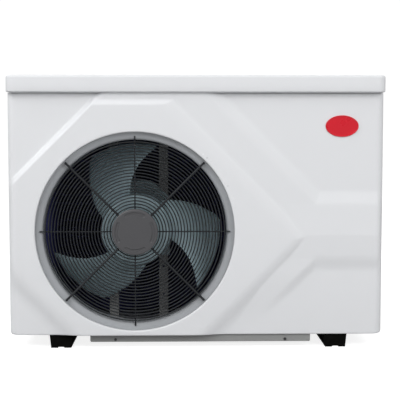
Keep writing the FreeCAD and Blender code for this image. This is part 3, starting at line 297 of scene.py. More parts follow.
MATERIALS = {
    "cabinet_white": cabinet_plastic(),
    "panel_white_steel": painted("panel_white_steel", (0.77, 0.78, 0.80)),
    "shroud_grey": moulded("shroud_grey", (0.385, 0.40, 0.42), 0.5),
    "guard_wire": moulded("guard_wire", (0.022, 0.024, 0.027), 0.55, 600.0, gloss=0.25),
    "cap_grey": moulded("cap_grey", (0.075, 0.075, 0.08), 0.42, 1400.0),
    "fan_bluegrey": moulded("fan_bluegrey", (0.36, 0.475, 0.515), 0.36, 700.0),
    "zinc_steel": galvanised("zinc_steel"),
    "bright_steel": drawn_metal("bright_steel", (0.11, 0.11, 0.115), 0.42),
    "rail_grey": painted("rail_grey", (0.285, 0.288, 0.285), 0.55),
    "leg_black": rubbery("leg_black", (0.0016, 0.0016, 0.0013), 0.85),
    "badge_red": moulded("badge_red", (0.66, 0.008, 0.022), 0.30, 300.0, 0.00002, 0.05),
    "coil_fin": moulded("coil_fin", (0.05, 0.053, 0.20), 0.5, 400.0, 0.00003, 0.2),
    "copper": drawn_metal("copper", (0.72, 0.36, 0.22), 0.3),
    "black_paint": painted("black_paint", (0.016, 0.016, 0.018), 0.3),
    "black_plastic": moulded("black_plastic", (0.02, 0.02, 0.022), 0.45),
    "grey_plastic": moulded("grey_plastic", (0.26, 0.27, 0.28), 0.45),
    "titanium": drawn_metal("titanium", (0.42, 0.40, 0.38), 0.38),
    "union_blue_grey": moulded("union_blue_grey", (0.12, 0.13, 0.15), 0.35, 500.0),
    "board_green": moulded("board_green", (0.015, 0.14, 0.06), 0.3, 2000.0, 0.00004, 0.12),
    "key_grey": rubbery("key_grey", (0.30, 0.31, 0.32), 0.55),
    "window_glass": tinted_pane("window_glass", (0.02, 0.03, 0.035), 0.8),
    "door_smoke": tinted_pane("door_smoke", (0.16, 0.17, 0.18), 0.45),
}


# ---------------------------------------------------------------- mesh helpers
def piece(name, verts, faces, slot, replaces=(), body="cabinet", smooth=True, sharp_deg=35.0):
    """A mesh piece in millimetres that rides on a CAD body."""
    mesh = bpy.data.meshes.new(name)
    mesh.from_pydata([tuple(c * MM for c in v) for v in verts], [], faces)
    mesh.validate()
    bm = bmesh.new()
    bm.from_mesh(mesh)
    bmesh.ops.remove_doubles(bm, verts=bm.verts, dist=1e-6)
    bmesh.ops.recalc_face_normals(bm, faces=bm.faces)
    bm.to_mesh(mesh)
    bm.free()
    obj = bpy.data.objects.new(name, mesh)
    scene.collection.objects.link(obj)
    mesh.materials.append(MATERIALS[slot])
    if smooth:
        mesh.shade_smooth()
        mesh.set_sharp_from_angle(angle=math.radians(sharp_deg))
    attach(obj, body)
    if replaces:
        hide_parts(*replaces)
    return obj


def circle_y(x, z, radius, y, segments):
    """Points of a circle round an axis along Y."""
    angles = [TAU * k / segments for k in range(segments)]
    return [(x + radius * math.cos(a), y, z + radius * math.sin(a)) for a in angles]


TUBE_END = ((0.45, 0.55), (0.2, 0.88))  # past the end, then the radius there, in shares of the tube's radius
BOX_FACES = ((0, 1, 2, 3), (4, 7, 6, 5), (0, 4, 5, 1), (1, 5, 6, 2), (2, 6, 7, 3), (3, 7, 4, 0))


class Build:
    """Collects vertices and faces of one piece."""

    def __init__(self):
        self.verts, self.faces = [], []

    def loop_loft(self, loops, cap_start=False, cap_end=False, wrap=False):
        """Quads between successive closed loops of equal length."""
        n = len(loops[0])
        base = len(self.verts)
        for loop in loops:
            self.verts.extend(loop)
        spans = len(loops) if wrap else len(loops) - 1
        for i in range(spans):
            a, b = base + i * n, base + (i + 1) % len(loops) * n
            for j in range(n):
                k = (j + 1) % n
                self.faces.append((a + j, a + k, b + k, b + j))
        if cap_start:
            self.faces.append(tuple(range(base, base + n)))
        if cap_end:
            last = base + (len(loops) - 1) * n
            self.faces.append(tuple(range(last, last + n)))

    def lathe_y(self, profile, x, z, segments):
        """Turns a closed profile of (radius, y) points about an axis along Y."""
        self.loop_loft([circle_y(x, z, r, y, segments) for r, y in profile], wrap=True)

    def tube(self, points, radius, segments, closed=False, up=Vector((0, 1, 0))):
        """A round bar along points, with rounded ends where it is open."""
        pts = [Vector(p) for p in points]
        n = len(pts)
        rings = []
        for i, p in enumerate(pts):
            before, after = pts[(i - 1) % n], pts[(i + 1) % n]
            if not closed and i == 0:
                before = p
            if not closed and i == n - 1:
                after = p
            along = (after - before).normalized()
            side = along.cross(up).normalized()
            top = side.cross(along)
            rings.append((p, along, side, top))
        loops = []

        def ring(p, side, top, r):
            angles = [TAU * k / segments for k in range(segments)]
            return [tuple(p + (side * math.cos(a) + top * math.sin(a)) * r) for a in angles]

        if not closed:
            p, along, side, top = rings[0]
            for past, share in TUBE_END:
                loops.append(ring(p - along * radius * past, side, top, radius * share))
        for p, along, side, top in rings:
            loops.append(ring(p, side, top, radius))
        if not closed:
            p, along, side, top = rings[-1]
            for past, share in TUBE_END[::-1]:
                loops.append(ring(p + along * radius * past, side, top, radius * share))
        self.loop_loft(loops, wrap=closed, cap_start=not closed, cap_end=not closed)

    def make(self, name, slot, **options):
        piece(name, self.verts, self.faces, slot, **options)


def around_fan(radius, degrees, y):
    angle = math.radians(degrees)
    return (FAN_X + radius * math.cos(angle), y, FAN_Z + radius * math.sin(angle))


def arc_profile(cx, cy, r, start, end, steps):
    """Points of a circular arc in profile space, in degrees."""
    out = []
    for k in range(steps + 1):
        a = math.radians(start + (end - start) * k / steps)
        out.append((cx + r * math.cos(a), cy + r * math.sin(a)))
    return out


def bevelled(node, width, segments=3, angle=30):
    """Rounds the edges of a CAD node in place."""
    obj = frame["nodes"][node]
    modifier = obj.modifiers.new("edges", "BEVEL")
    modifier.width = width * MM
    modifier.segments = segments
    modifier.limit_method = "ANGLE"
    modifier.angle_limit = math.radians(angle)
    modifier.harden_normals = True


# ---------------------------------------------------------------- front panel
# Facets: where one starts to rise, where it is at full height, and how far its corners are rounded.
HEX_UPPER_LEFT = (943, 926, 0.10)
HEX_TOP = (676, 651, 0.12)
HEX_UPPER_RIGHT = (634, 575, 0.45)
HEX_LOWER_RIGHT = (25, -21, 0.38)
HEX_LOWER_LEFT = (-329, -277, 0.40)
RIBBON_UPPER_DIAGONAL, RIBBON_UPPER_FLAT, RIBBON_UPPER_ROUND = (750, 705), (421, 387), 0.16
RIBBON_LOWER_DIAGONAL, RIBBON_LOWER_FLAT, RIBBON_LOWER_ROUND = (103, 76), (213, 243), 0.30
RIBBON_RELIEF = 7.2
RIBBON_FADE = (60, 215)  # heights between which the ribbon grows out of the base face
RIDGE_Z, RIDGE_RELIEF = 304, 3.6
RIDGE_ABOVE, RIDGE_BELOW = 83.0, 62.0  # how far the ridge's slopes reach
RIDGE_RUN_IN = (200, 300)
PANEL_WALL = 2.4
PANEL_STEP = 3.25  # width of a mesh column
PANEL_ROWS = 200
CORNER_STEPS = 12
BOTTOM_ROLL = 3.0
SIDE_TUCK = 8  # radius that narrows the panel's lower corners
TUCK_START_X = 440
LIP_R = 3.5  # rounding of the opening's edge
LIP_DEPTH = 12
OPENING_GAP = 6.5  # the regular mesh stops this far outside the opening
OPENING_BAND = 16  # and the filled band lies within this distance of it
OPENING_SEGMENTS = 256


def soft_step(t, k):
    """A 0 to 1 ramp in t whose two corners are rounded over a width k."""
    low = np.where(t < k, np.where(t < -k, 0.0, (t + k) ** 2 / (4 * k)), t)
    return np.where(t > 1 - k, np.where(t > 1 + k, 1.0, 1 - (1 + k - t) ** 2 / (4 * k)), low)


def ramp_value(value, foot, top):
    return (value - foot) / (top - foot)


def smooth_between(value, low, high):
    t = np.clip((value - low) / (high - low), 0, 1)
    return t * t * (3 - 2 * t)


def facet(value, line):
    foot, top, rounding = line
    return soft_step(ramp_value(value, foot, top), rounding)


def relief(x, z):
    """Height of the moulded relief over the panel's base face."""
    upper_left = facet(z - x, HEX_UPPER_LEFT)
    lower_left = facet(x + z, HEX_LOWER_LEFT)
    right = (facet(x + z, HEX_UPPER_RIGHT), facet(x - z, HEX_LOWER_RIGHT))
    hexagon = np.minimum.reduce([upper_left, facet(z, HEX_TOP), *right, lower_left])
    upper = np.maximum(ramp_value(x + z, *RIBBON_UPPER_DIAGONAL), ramp_value(z, *RIBBON_UPPER_FLAT))
    lower = np.maximum(ramp_value(x - z, *RIBBON_LOWER_DIAGONAL), ramp_value(z, *RIBBON_LOWER_FLAT))
    ribbon = np.minimum(soft_step(upper, RIBBON_UPPER_ROUND), soft_step(lower, RIBBON_LOWER_ROUND))
    fade = smooth_between(z, *RIBBON_FADE)
    away = np.where(z > RIDGE_Z, (z - RIDGE_Z) / RIDGE_ABOVE, (RIDGE_Z - z) / RIDGE_BELOW)
    ridge = RIDGE_RELIEF * np.clip(1 - away, 0, 1) * smooth_between(x, *RIDGE_RUN_IN)
    level = (RIBBON_RELIEF * fade + ridge) * ribbon * np.minimum(upper_left, lower_left)
    return np.maximum(RELIEF * hexagon, level)


def front_panel():
    """The moulded shell: a regular grid, stitched to a round opening by a triangulated band."""
    columns = []
    inner = FRONT_HALF_W - CORNER_R
    side_depths = np.linspace(PANEL_BACK - (BASE_Y + CORNER_R), 0, 6)[:-1]
    for depth in side_depths:
        columns.append((-FRONT_HALF_W, CORNER_R + depth, 90.0, -1))
    for k in range(CORNER_STEPS, 0, -1):
        columns.append((None, None, 90 / CORNER_STEPS * k, -1))
    count = int(round(2 * inner / PANEL_STEP))
    for k in range(count + 1):
        columns.append((-inner + 2 * inner * k / count, 0.0, 0.0, 1))
    for k in range(1, CORNER_STEPS + 1):
        columns.append((None, None, 90 / CORNER_STEPS * k, 1))
    for depth in side_depths[::-1]:
        columns.append((FRONT_HALF_W, CORNER_R + depth, 90.0, 1))

    rows = []
    for a in (90, 65, 42, 20):
        rise, inward = 1 - math.sin(math.radians(a)), 1 - math.cos(math.radians(a))
        rows.append((Z_SKIRT + BOTTOM_ROLL * rise, BOTTOM_ROLL * inward))
    rows += [(z, 0.0) for z in np.linspace(Z_SKIRT + BOTTOM_ROLL, Z_PANEL_TOP, PANEL_ROWS)]

    grid = np.zeros((len(columns), len(rows), 3))
    z_row = np.array([z for z, _ in rows])
    tuck = np.array([t for _, t in rows])
    low = np.clip(Z_SKIRT + SIDE_TUCK - z_row, 0, SIDE_TUCK)
    narrowing = SIDE_TUCK - np.sqrt(SIDE_TUCK**2 - low**2)
    for i, (x, y_off, phi, side) in enumerate(columns):
        a = math.radians(phi)
        if x is None:
            x = side * (inner + CORNER_R * math.sin(a))
            y_off = CORNER_R * (1 - math.cos(a))
        nx, ny = side * math.sin(a), -math.cos(a)
        height = relief(np.full_like(z_row, x), z_row) * math.cos(a) ** 2
        squeeze = narrowing * smooth_between(np.abs(x), TUCK_START_X, FRONT_HALF_W)
        grid[i, :, 0] = x - math.copysign(1, x) * squeeze - nx * tuck
        grid[i, :, 1] = BASE_Y + y_off - height - ny * tuck
        grid[i, :, 2] = z_row

    radial = np.hypot(grid[:, :, 0] - FAN_X, grid[:, :, 2] - FAN_Z)
    keep = radial > OPENING_R + OPENING_GAP
    verts, faces = [], []
    number = -np.ones(keep.shape, int)
    cells = keep[:-1, :-1] & keep[1:, :-1] & keep[1:, 1:] & keep[:-1, 1:]

    def vertex(i, j):
        if number[i, j] < 0:
            number[i, j] = len(verts)
            verts.append(tuple(grid[i, j]))
        return int(number[i, j])

    edge_use = {}
    for i in range(cells.shape[0]):
        for j in range(cells.shape[1]):
            if cells[i, j]:
                quad = (vertex(i, j), vertex(i + 1, j), vertex(i + 1, j + 1), vertex(i, j + 1))
                faces.append(quad)
                for a, b in zip(quad, quad[1:] + quad[:1]):
                    edge_use[frozenset((a, b))] = edge_use.get(frozenset((a, b)), 0) + 1
    rim = [tuple(e) for e, n in edge_use.items() if n == 1]

    def from_axis(p):
        return math.hypot(p[0] - FAN_X, p[2] - FAN_Z)

    near = [e for e in rim if all(from_axis(verts[v]) < OPENING_R + OPENING_BAND for v in e)]
    ids = sorted({v for e in near for v in e})
    segments = OPENING_SEGMENTS
    ring_r = OPENING_R + LIP_R
    ring = [around_fan(ring_r, 360.0 * k / segments, Y_FRONT) for k in range(segments)]
    flat = [Vector((verts[v][0], verts[v][2])) for v in ids] + [Vector((p[0], p[2])) for p in ring]
    local = {v: k for k, v in enumerate(ids)}
    first = len(ids)
    edges = [(local[a], local[b]) for a, b in near]
    edges += [(first + k, first + (k + 1) % segments) for k in range(segments)]
    out_co, _, out_faces, *_ = delaunay_2d_cdt(flat, edges, [], 0, 1e-5)
    ring_ids = []
    for p in ring:
        ring_ids.append(len(verts))
        verts.append(p)
    look_up = ids + ring_ids
    for face in out_faces:
        corners = [look_up[k] for k in face]
        cx = sum(verts[v][0] for v in corners) / 3 - FAN_X
        cz = sum(verts[v][2] for v in corners) / 3 - FAN_Z
        if math.hypot(cx, cz) < ring_r - 0.05:
            continue
        points = [verts[v] for v in corners]
        outside = max(from_axis(p) for p in points)
        if outside < OPENING_R + OPENING_BAND and not inside_cells(points, grid, cells):
            faces.append(tuple(corners))

    lip = arc_profile(ring_r, Y_FRONT + LIP_R, LIP_R, -90, -180, 6)[1:] + [(OPENING_R, Y_FRONT + LIP_DEPTH)]
    previous = ring_ids
    for r, y in lip:
        loop = []
        for k in range(segments):
            loop.append(len(verts))
            verts.append(around_fan(r, 360.0 * k / segments, y))
        for k in range(segments):
            j = (k + 1) % segments
            faces.append((previous[k], previous[j], loop[j], loop[k]))
        previous = loop

    obj = piece("front_panel_shell", verts, faces, "cabinet_white", replaces=("front_panel",), sharp_deg=60)
    wall = obj.modifiers.new("wall", "SOLIDIFY")
    wall.thickness = PANEL_WALL * MM
    wall.offset = -1.0


def inside_cells(points, grid, cells):
    """True where a fill triangle lies over grid cells that already have faces."""
    plain = 60  # a row and a column away from the rounded edges, where the grid is straight
    cx = sum(p[0] for p in points) / 3
    cz = sum(p[2] for p in points) / 3
    i = int(np.searchsorted(grid[:, plain, 0], cx)) - 1
    j = int(np.searchsorted(grid[plain, :, 2], cz)) - 1
    return bool(cells[i, j])


# ---------------------------------------------------------------- top cover
def rounded_rectangle(x0, x1, y0, y1, r, z, arc=10, across=14, deep=6):
    """Loop of points round a rectangle with rounded corners."""
    out = []
    corners = ((x1 - r, y1 - r, 0), (x0 + r, y1 - r, 90), (x0 + r, y0 + r, 180), (x1 - r, y0 + r, 270))
    for cx, cy, start in corners:
        for k in range(arc + 1):
            a = math.radians(start + 90 * k / arc)
            out.append((cx + r * math.cos(a), cy + r * math.sin(a), z))
        steps = across if start in (0, 180) else deep
        nx, ny, nstart = corners[(start // 90 + 1) % 4]
        a = math.radians(nstart)
        last, target = out[-1], (nx + r * math.cos(a), ny + r * math.sin(a))
        for k in range(1, steps):
            f = k / steps
            out.append((last[0] + (target[0] - last[0]) * f, last[1] + (target[1] - last[1]) * f, z))
    return out


COVER_FRONT, COVER_REAR = Y_FRONT - 3, Y_REAR + 5
COVER_EDGE_R = 7  # rounding of the cover's upper edge
COVER_EDGE_Z = 721.0


def top_cover():
    b = Build()

    def loop(inset, z):
        r = max(CORNER_R - inset, 5.0)
        half = COVER_HALF_W - inset
        return rounded_rectangle(-half, half, COVER_FRONT + inset, COVER_REAR - inset, r, z)

    # (inset, height) points, from under the lid, round its skirt, to the middle of its top
    profile = [(160, 725.6), (9, 725.6), (12.5, 722), (12.5, 681.5), (9, 681.5), (9, 686.5)]
    profile += [(3.2, 686.5), (3.0, 684.6), (2.4, 684.0)]
    profile += [(1.0, 684.0), (0.3, 684.3), (0.0, 685.2), (0.0, 700.0), (0.0, COVER_EDGE_Z)]
    for k in range(1, 9):
        a = math.radians(90 * k / 8)
        inset = COVER_EDGE_R - COVER_EDGE_R * math.cos(a)
        profile.append((inset, COVER_EDGE_Z + COVER_EDGE_R * math.sin(a)))
    profile += [(24, 728.3), (60, 728.55), (110, 728.8), (160, 729.0)]
    b.loop_loft([loop(i, z) for i, z in profile], cap_start=True, cap_end=True)
    b.make("top_cover_shell", "cabinet_white", replaces=("top_cover",), sharp_deg=50)


# ---------------------------------------------------------------- fan guard and shroud
def fan_shroud():
    y = Y_FRONT
    b = Build()
    # (radius, y) points: the flared face, the throat, the turned rear lip and back along the outside
    profile = [(274.5, y + 13.2), (267.5, y + 13.2), (262, y + 13.7), (255, y + 14.5), (250, y + 15.4)]
    profile += [(246.5, y + 16.8), (244.8, y + 18.6), (ORIFICE_R, y + 21), (ORIFICE_R, y + 40)]
    profile += [(ORIFICE_R, y + 60), (245, y + 64), (247.5, y + 67.5), (249.4, y + 67.8)]
    profile += [(247.6, y + 63), (246.6, y + 58), (246.5, y + 22), (250, y + 17.8), (274.5, y + 15.4)]
    b.lathe_y(profile, FAN_X, FAN_Z, 240)
    b.make("orifice_ring", "shroud_grey", replaces=("fan_shroud",), sharp_deg=40)


RING_COUNT, FIRST_RING_R, RING_PITCH, RING_WIRE_R = 22, 66.0, 8.2, 1.6
THIN_SPOKE_R, THICK_SPOKE_R, FOOT_R = 1.8, 3.0, 2.5
THIN_SPOKE_Y, THICK_SPOKE_Y = GRILLE_Y + 2.4, GRILLE_Y - 3.6
FOOT_AT, FOOT_BACK_Y = 257, GRILLE_Y + 3.2  # how far out the feet sit, and where they end
NEARLY_Y = Vector((0, 1, 0.01))  # never parallel to a spoke


def fan_guard():
    b = Build()
    for k in range(RING_COUNT):
        radius = FIRST_RING_R + RING_PITCH * k
        steps = 96 if radius < 120 else 144
        ring = [around_fan(radius, 360.0 * i / steps, GRILLE_Y) for i in range(steps)]
        b.tube(ring, RING_WIRE_R, 8, closed=True)
    for k in range(4):
        thin = [around_fan(r, 90 * k, THIN_SPOKE_Y) for r in (50, 150, 253)]
        b.tube(thin, THIN_SPOKE_R, 10, up=NEARLY_Y)
        thick = [around_fan(r, 90 * k + 45, THICK_SPOKE_Y) for r in (50, 150, 250, 259.5)]
        b.tube(thick, THICK_SPOKE_R, 16, up=NEARLY_Y)
        x, _, z = around_fan(FOOT_AT, 90 * k + 45, 0)
        b.tube([(x, THICK_SPOKE_Y, z), (x, FOOT_BACK_Y, z)], FOOT_R, 12, up=Vector((1, 0, 0)))
    y = GRILLE_Y
    b.lathe_y([(20, y - 1), (55.6, y - 1), (56, y), (55.6, y + 1), (20, y + 1)], FAN_X, FAN_Z, 96)
    b.make("wire_guard", "guard_wire", replaces=("fan_grille",), sharp_deg=50)


SLOT_R, SLOT_HALF_ANGLE, SLOT_HALF_W, SLOT_DEPTH, SLOT_EDGE = 49.15, 28.5, 4.1, 1.7, 1.3
CAP_FRONT, CAP_BACK, CAP_CROWN = -240.0, GRILLE_Y - 6.6, 0.9


def guard_cap():
    """Cap with four shallow arc slots pressed into its face."""
    front, back = CAP_FRONT, CAP_BACK
    segments = 256
    radii = [0.5, 12, 24, 34, 40, 43.5, 44.6, 45.2, 45.8, 46.4, 47.4, SLOT_R]
    radii += [50.9, 51.9, 52.5, 53.1, 53.7, 55, 57.5]

    def sunk(r, a):
        """Depth of the slot at a point of the face."""
        offset = (math.degrees(a) + 45) % 90 - 45
        along = max(0.0, abs(math.radians(offset)) * SLOT_R - math.radians(SLOT_HALF_ANGLE) * SLOT_R)
        gap = math.hypot(along, r - SLOT_R)
        return SLOT_DEPTH * float(smooth_between(np.array(SLOT_HALF_W - gap), 0.0, SLOT_EDGE))

    loops = []
    for r in radii:
        loop = []
        for k in range(segments):
            a = TAU * k / segments
            crown = CAP_CROWN * (r / CAP_R) ** 2
            loop.append((FAN_X + r * math.cos(a), front + crown + sunk(r, a), FAN_Z + r * math.sin(a)))
        loops.append(loop)
    rim = [(59.2, front + 1.15), (60.6, front + 1.9), (61.3, front + 3.0), (CAP_R, front + 4.4)]
    rim += [(CAP_R, back - 0.8), (60.7, back), (30, back), (6, back), (6, GRILLE_Y - 1)]
    loops += [circle_y(FAN_X, FAN_Z, r, y, segments) for r, y in rim]
    b = Build()
    b.loop_loft(loops, cap_start=True, cap_end=True)
    b.make("guard_cap_face", "cap_grey", replaces=("grille_cap",), sharp_deg=45)


def guard_screws():
    b = Build()
    y = GRILLE_Y - 8.4
    profile = [(0.9, y + 0.9), (1.0, y + 0.1), (2.2, y + 0.15), (3.1, y + 0.6)]
    profile += [(3.4, y + 1.3), (3.4, y + 1.8), (0.9, y + 1.8)]
    for k in range(4):
        x, _, z = around_fan(FOOT_AT, 90 * k + 45, 0)
        b.lathe_y(profile, x, z, 24)
    b.make("guard_screw_heads", "guard_wire", replaces=("grille_screws",))


# ---------------------------------------------------------------- fan
# radius, then the angles of the front and the rear edge past the blade's start
STATIONS = (
    (92.0, 27.0, 95.0),
    (112.0, 24.6, 86.5),
    (135.0, 21.0, 78.0),
    (160.0, 16.4, 69.8),
    (185.0, 11.2, 62.4),
    (210.0, 5.6, 56.0),
    (FAN_R, 0.0, 50.6),
)
BLADE_START = 74.8
FRONT_ROOT_Y, FRONT_TIP_Y = Y_FRONT + 122, Y_FRONT + 82
REAR_ROOT_Y, REAR_TIP_Y = Y_FRONT + 154, Y_FRONT + 202
HUB_REAR_Y = Y_FRONT + 160
BLADE_ROWS, BLADE_CHORD = 30, 36
BLADE_HALF_T, EDGE_HALF_T = 1.7, 0.12
BLADE_CAMBER = 0.10
SMOOTHING_PASSES = 6
TIP_ROUND, TIP_TRIM = 9, 1.2  # length of the rounded tip, and the degrees it takes off each edge
RIB_COUNT, RIB_HALF_W, RIB_DEPTH = 12, 1.1, 34
RIB_INNER_R, RIB_OUTER_R, RIB_Y = 17, 92.5, Y_FRONT + 66


def blade_edges(radius):
    radii, fronts, rears = zip(*STATIONS)
    return float(np.interp(radius, radii, fronts)), float(np.interp(radius, radii, rears))


def smooth_stations(count):
    """Edge angles along the blade, rounded by repeated averaging."""
    radii = np.linspace(HUB_R - 2, FAN_R, count)
    edges = np.array([blade_edges(r) for r in radii])
    for _ in range(SMOOTHING_PASSES):
        edges[1:-1] = (edges[:-2] + 2 * edges[1:-1] + edges[2:]) / 4
    return radii, edges


def fan_blades():
    """Three blades that slope back from the front edge to the rear edge."""
    b = Build()
    radii, edges = smooth_stations(BLADE_ROWS)
    chord = BLADE_CHORD
    for turn in range(3):
        fronts, backs = [], []
        for r, (front_edge, rear_edge) in zip(radii, edges):
            front_row, back_row = [], []
            tip = float(smooth_between(np.array(r), FAN_R - TIP_ROUND, FAN_R))
            out = (r - HUB_R) / (FAN_R - HUB_R)
            front_y = FRONT_ROOT_Y + (FRONT_TIP_Y - FRONT_ROOT_Y) * out
            rear_y = REAR_ROOT_Y + (REAR_TIP_Y - REAR_ROOT_Y) * out
            for k in range(chord + 1):
                s = k / chord
                degrees = BLADE_START + 120 * turn + front_edge + (rear_edge - front_edge) * s
                if k in (0, chord):
                    degrees += (1 if k == 0 else -1) * TIP_TRIM * tip
                rise = s + BLADE_CAMBER * math.sin(math.pi * s)
                y = front_y + (rear_y - front_y) * rise
                thick = BLADE_HALF_T * (1 - abs(2 * s - 1) ** 5) ** 0.6 * (1 - 0.6 * tip) + EDGE_HALF_T
                front_row.append(around_fan(r, degrees, y - thick))
                back_row.append(around_fan(r, degrees, y + thick))
            fronts.append(front_row)
            backs.append(back_row)
        loops = [front + back[::-1] for front, back in zip(fronts, backs)]
        b.loop_loft(loops, cap_start=True, cap_end=True)
    b.make("fan_blades", "fan_bluegrey", body="fan_rotor", replaces=("fan_impeller",), sharp_deg=55)


def fan_hub():
    """A turned hub, open at the rear, with radial ribs inside."""
    y, rear = Y_FRONT, HUB_REAR_Y
    hub = Build()
    profile = [(6.0, y + 66), (33, y + 66), (36, y + 64.5), (39, y + 59.5), (42, y + 58), (84, y + 58)]
    profile += [(88.5, y + 58.8), (92.5, y + 61.5), (95.0, y + 65.5), (HUB_R, y + 71), (HUB_R, rear - 0.8)]
    profile += [(95.3, rear), (93.6, rear), (93, rear - 0.7), (93, y + 73), (90.5, y + 66), (86, y + 62)]
    profile += [(42, y + 62), (36, y + 70), (18, y + 70), (18, y + 112), (6.0, y + 112)]
    hub.lathe_y(profile, FAN_X, FAN_Z, 160)
    for k in range(RIB_COUNT):
        a = math.radians(360 / RIB_COUNT * k + 15)
        direction = Vector((math.cos(a), 0, math.sin(a)))
        start = Vector((FAN_X, RIB_Y, FAN_Z)) + direction * RIB_INNER_R
        end = Vector((FAN_X, RIB_Y, FAN_Z)) + direction * RIB_OUTER_R
        across = Vector((-direction.z, 0, direction.x)) * RIB_HALF_W
        depth = Vector((0, RIB_DEPTH, 0))
        corners = [start - across, start + across, end + across, end - across]
        base = len(hub.verts)
        hub.verts.extend([tuple(c) for c in corners] + [tuple(c + depth) for c in corners])
        for quad in BOX_FACES:
            hub.faces.append(tuple(base + i for i in quad))
    hub.make("fan_hub", "fan_bluegrey", body="fan_rotor", sharp_deg=45)


# ---------------------------------------------------------------- coil
COIL_X0, COIL_X1, COIL_Y0, COIL_T = -466.0, 118.0, 128.0, 38.0
COIL_Z0, COIL_Z1, LEFT_LEG_Y0 = 42.0, 612.0, -118.0
TUBE_PITCH, TUBE_COUNT, TUBE_R = 25.4, 22, 4.4
TUBE_ROWS, TUBE_FIRST = (9.0, 29.0), 18.0  # rows in from the bend's inner face, and the first tube's height
FIN_PITCH, FIN_HALF_T = 2.3, 0.13
FIN_INSET = 0.3  # the fins stop this far inside the coil's faces
FIN_WAVES, FIN_SWAY = 4, 9.5  # ripples across a fin, and their height in half thicknesses
BEND_R, BEND_STEPS = 60, 8  # outer radius of the coil's bend
COIL_BACK_Y = COIL_Y0 + COIL_T
BEND_X, BEND_Y = COIL_X0 + BEND_R, COIL_BACK_Y - BEND_R


def coil_path():
    """Stations along the coil: fins every pitch along the rear leg, the bend and the left leg."""
    stations = []
    x = COIL_X1 - 1.0
    while x > BEND_X:
        stations.append(((x, COIL_Y0 + FIN_INSET), (x, COIL_BACK_Y - FIN_INSET)))
        x -= FIN_PITCH
    inner, outer, middle = 22.3, 59.7, 41
    steps = int(math.pi / 2 * middle / FIN_PITCH)
    for k in range(1, steps):
        a = math.radians(90 + 90 * k / steps)
        near = (BEND_X + inner * math.cos(a), BEND_Y + inner * math.sin(a))
        far = (BEND_X + outer * math.cos(a), BEND_Y + outer * math.sin(a))
        stations.append((near, far))
    y = BEND_Y
    while y > LEFT_LEG_Y0 + 1.0:
        stations.append(((COIL_X0 + COIL_T - FIN_INSET, y), (COIL_X0 + FIN_INSET, y)))
        y -= FIN_PITCH
    return stations


def coil_fins():
    b = Build()
    for (ax, ay), (bx, by) in coil_path():
        along = Vector((bx - ax, by - ay, 0))
        normal = Vector((-along.y, along.x, 0)).normalized() * FIN_HALF_T
        front, back = [], []
        for k in range(FIN_WAVES + 1):
            sway = normal * (FIN_SWAY if k % 2 else -FIN_SWAY)
            p = Vector((ax, ay, 0)) + along * (k / FIN_WAVES) + sway
            front.append(p + normal)
            back.append(p - normal)
        outline = front + back[::-1]
        low = [(p.x, p.y, COIL_Z0) for p in outline]
        high = [(p.x, p.y, COIL_Z1) for p in outline]
        b.loop_loft([low, high], cap_start=True, cap_end=True)
    b.make("coil_fin_stack", "coil_fin", replaces=("evaporator_fins",), smooth=False)


def coil_tubes():
    """Hairpin tubes that run through the fins, round the bend."""
    b = Build()
    cx, cy = BEND_X, BEND_Y
    for row in TUBE_ROWS:
        radius = BEND_R - COIL_T + row
        for k in range(TUBE_COUNT):
            z = COIL_Z0 + TUBE_FIRST + TUBE_PITCH * k
            path = [(COIL_X1, cy + radius, z), (-100, cy + radius, z), (cx, cy + radius, z)]
            for i in range(1, BEND_STEPS):
                a = math.radians(90 + 90 * i / BEND_STEPS)
                path.append((cx + radius * math.cos(a), cy + radius * math.sin(a), z))
            path += [(cx - radius, cy, z), (cx - radius, 0, z), (cx - radius, LEFT_LEG_Y0, z)]
            b.tube(path, TUBE_R, 10, up=Vector((0, 0, 1)))
    b.make("coil_tubes", "coil_fin")


# ---------------------------------------------------------------- badge, CAD nodes and floor
BADGE_X, BADGE_Z = 387.0, 594.0
DOME_RX, DOME_RZ, DOME_BASE, DOME_RISE, DOME_LOOPS = 41.4, 25.9, 2.1, 0.9, 8


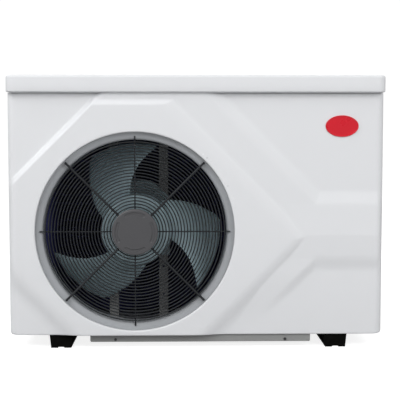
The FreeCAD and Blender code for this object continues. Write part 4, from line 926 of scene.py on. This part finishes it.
def badge():
    """Domed oval with a raised rim."""
    segments = 96
    angles = [TAU * k / segments for k in range(segments)]

    def oval(rx, rz, depth):
        return [(BADGE_X + rx * math.cos(a), BASE_Y - depth, BADGE_Z + rz * math.sin(a)) for a in angles]

    b = Build()
    loops = [oval(44, 28.5, 0.0), oval(44, 28.5, 1.5), oval(43.6, 28.1, 2.3), oval(42.8, 27.3, 2.7)]
    loops += [oval(42.0, 26.5, 2.5), oval(DOME_RX, DOME_RZ, DOME_BASE)]
    for k in range(1, DOME_LOOPS + 1):
        f = 1 - k / (DOME_LOOPS + 0.5)
        loops.append(oval(DOME_RX * f, DOME_RZ * f, DOME_BASE + DOME_RISE * (1 - f * f)))
    b.loop_loft(loops, cap_start=True, cap_end=True)
    b.make("badge_dome", "badge_red", replaces=("badge",), sharp_deg=40)


BEVELS = {
    "left_leg": 2.0,
    "right_leg": 2.0,
    "front_rail": 0.6,
    "left_handle_cup": 0.7,
    "right_handle_cup": 0.7,
    "controller_housing": 0.5,
    "controller_door": 0.5,
    "motor_bracket": 0.6,
}


def dress_cad_nodes():
    """Every CAD node that stays gets its material, and the blunt ones rounded edges."""
    slots = {s["node"]: s["material_slot"] for s in frame["record"]["subparts"]}
    for name, obj in frame["nodes"].items():
        obj.data.materials.clear()
        obj.data.materials.append(MATERIALS[slots[name]])
    for node, width in BEVELS.items():
        bevelled(node, width)


FLOOR_HALF = 9000
FLOOR_GLOW = 0.85  # seen by the camera only, so that the floor meets the backdrop without a line


def floor():
    corners = [(-1, -1), (1, -1), (1, 1), (-1, 1)]
    mesh = bpy.data.meshes.new("floor")
    mesh.from_pydata([(x * FLOOR_HALF * MM, y * FLOOR_HALF * MM, 0) for x, y in corners], [], [(0, 1, 2, 3)])
    obj = bpy.data.objects.new("floor", mesh)
    scene.collection.objects.link(obj)
    m = Nodes("floor_white")
    m.color(m.ramp(m.noise(0.6, 2.0), ((0.3, (0.50, 0.50, 0.50)), (0.7, (0.53, 0.53, 0.53)))))
    m.set(Roughness=0.9, Specular_IOR_Level=0.1, Emission_Color=(1, 1, 1, 1))
    seen = m.add("ShaderNodeLightPath").outputs["Is Camera Ray"]
    m.link(m.mapped(seen, 0.0, FLOOR_GLOW, 0.0, 1.0), m.shader.inputs["Emission Strength"])
    mesh.materials.append(m.material)


dress_cad_nodes()
floor()
front_panel()
top_cover()
fan_shroud()
fan_guard()
guard_cap()
guard_screws()
fan_blades()
fan_hub()
coil_fins()
coil_tubes()
badge()

bpy.context.view_layer.update()
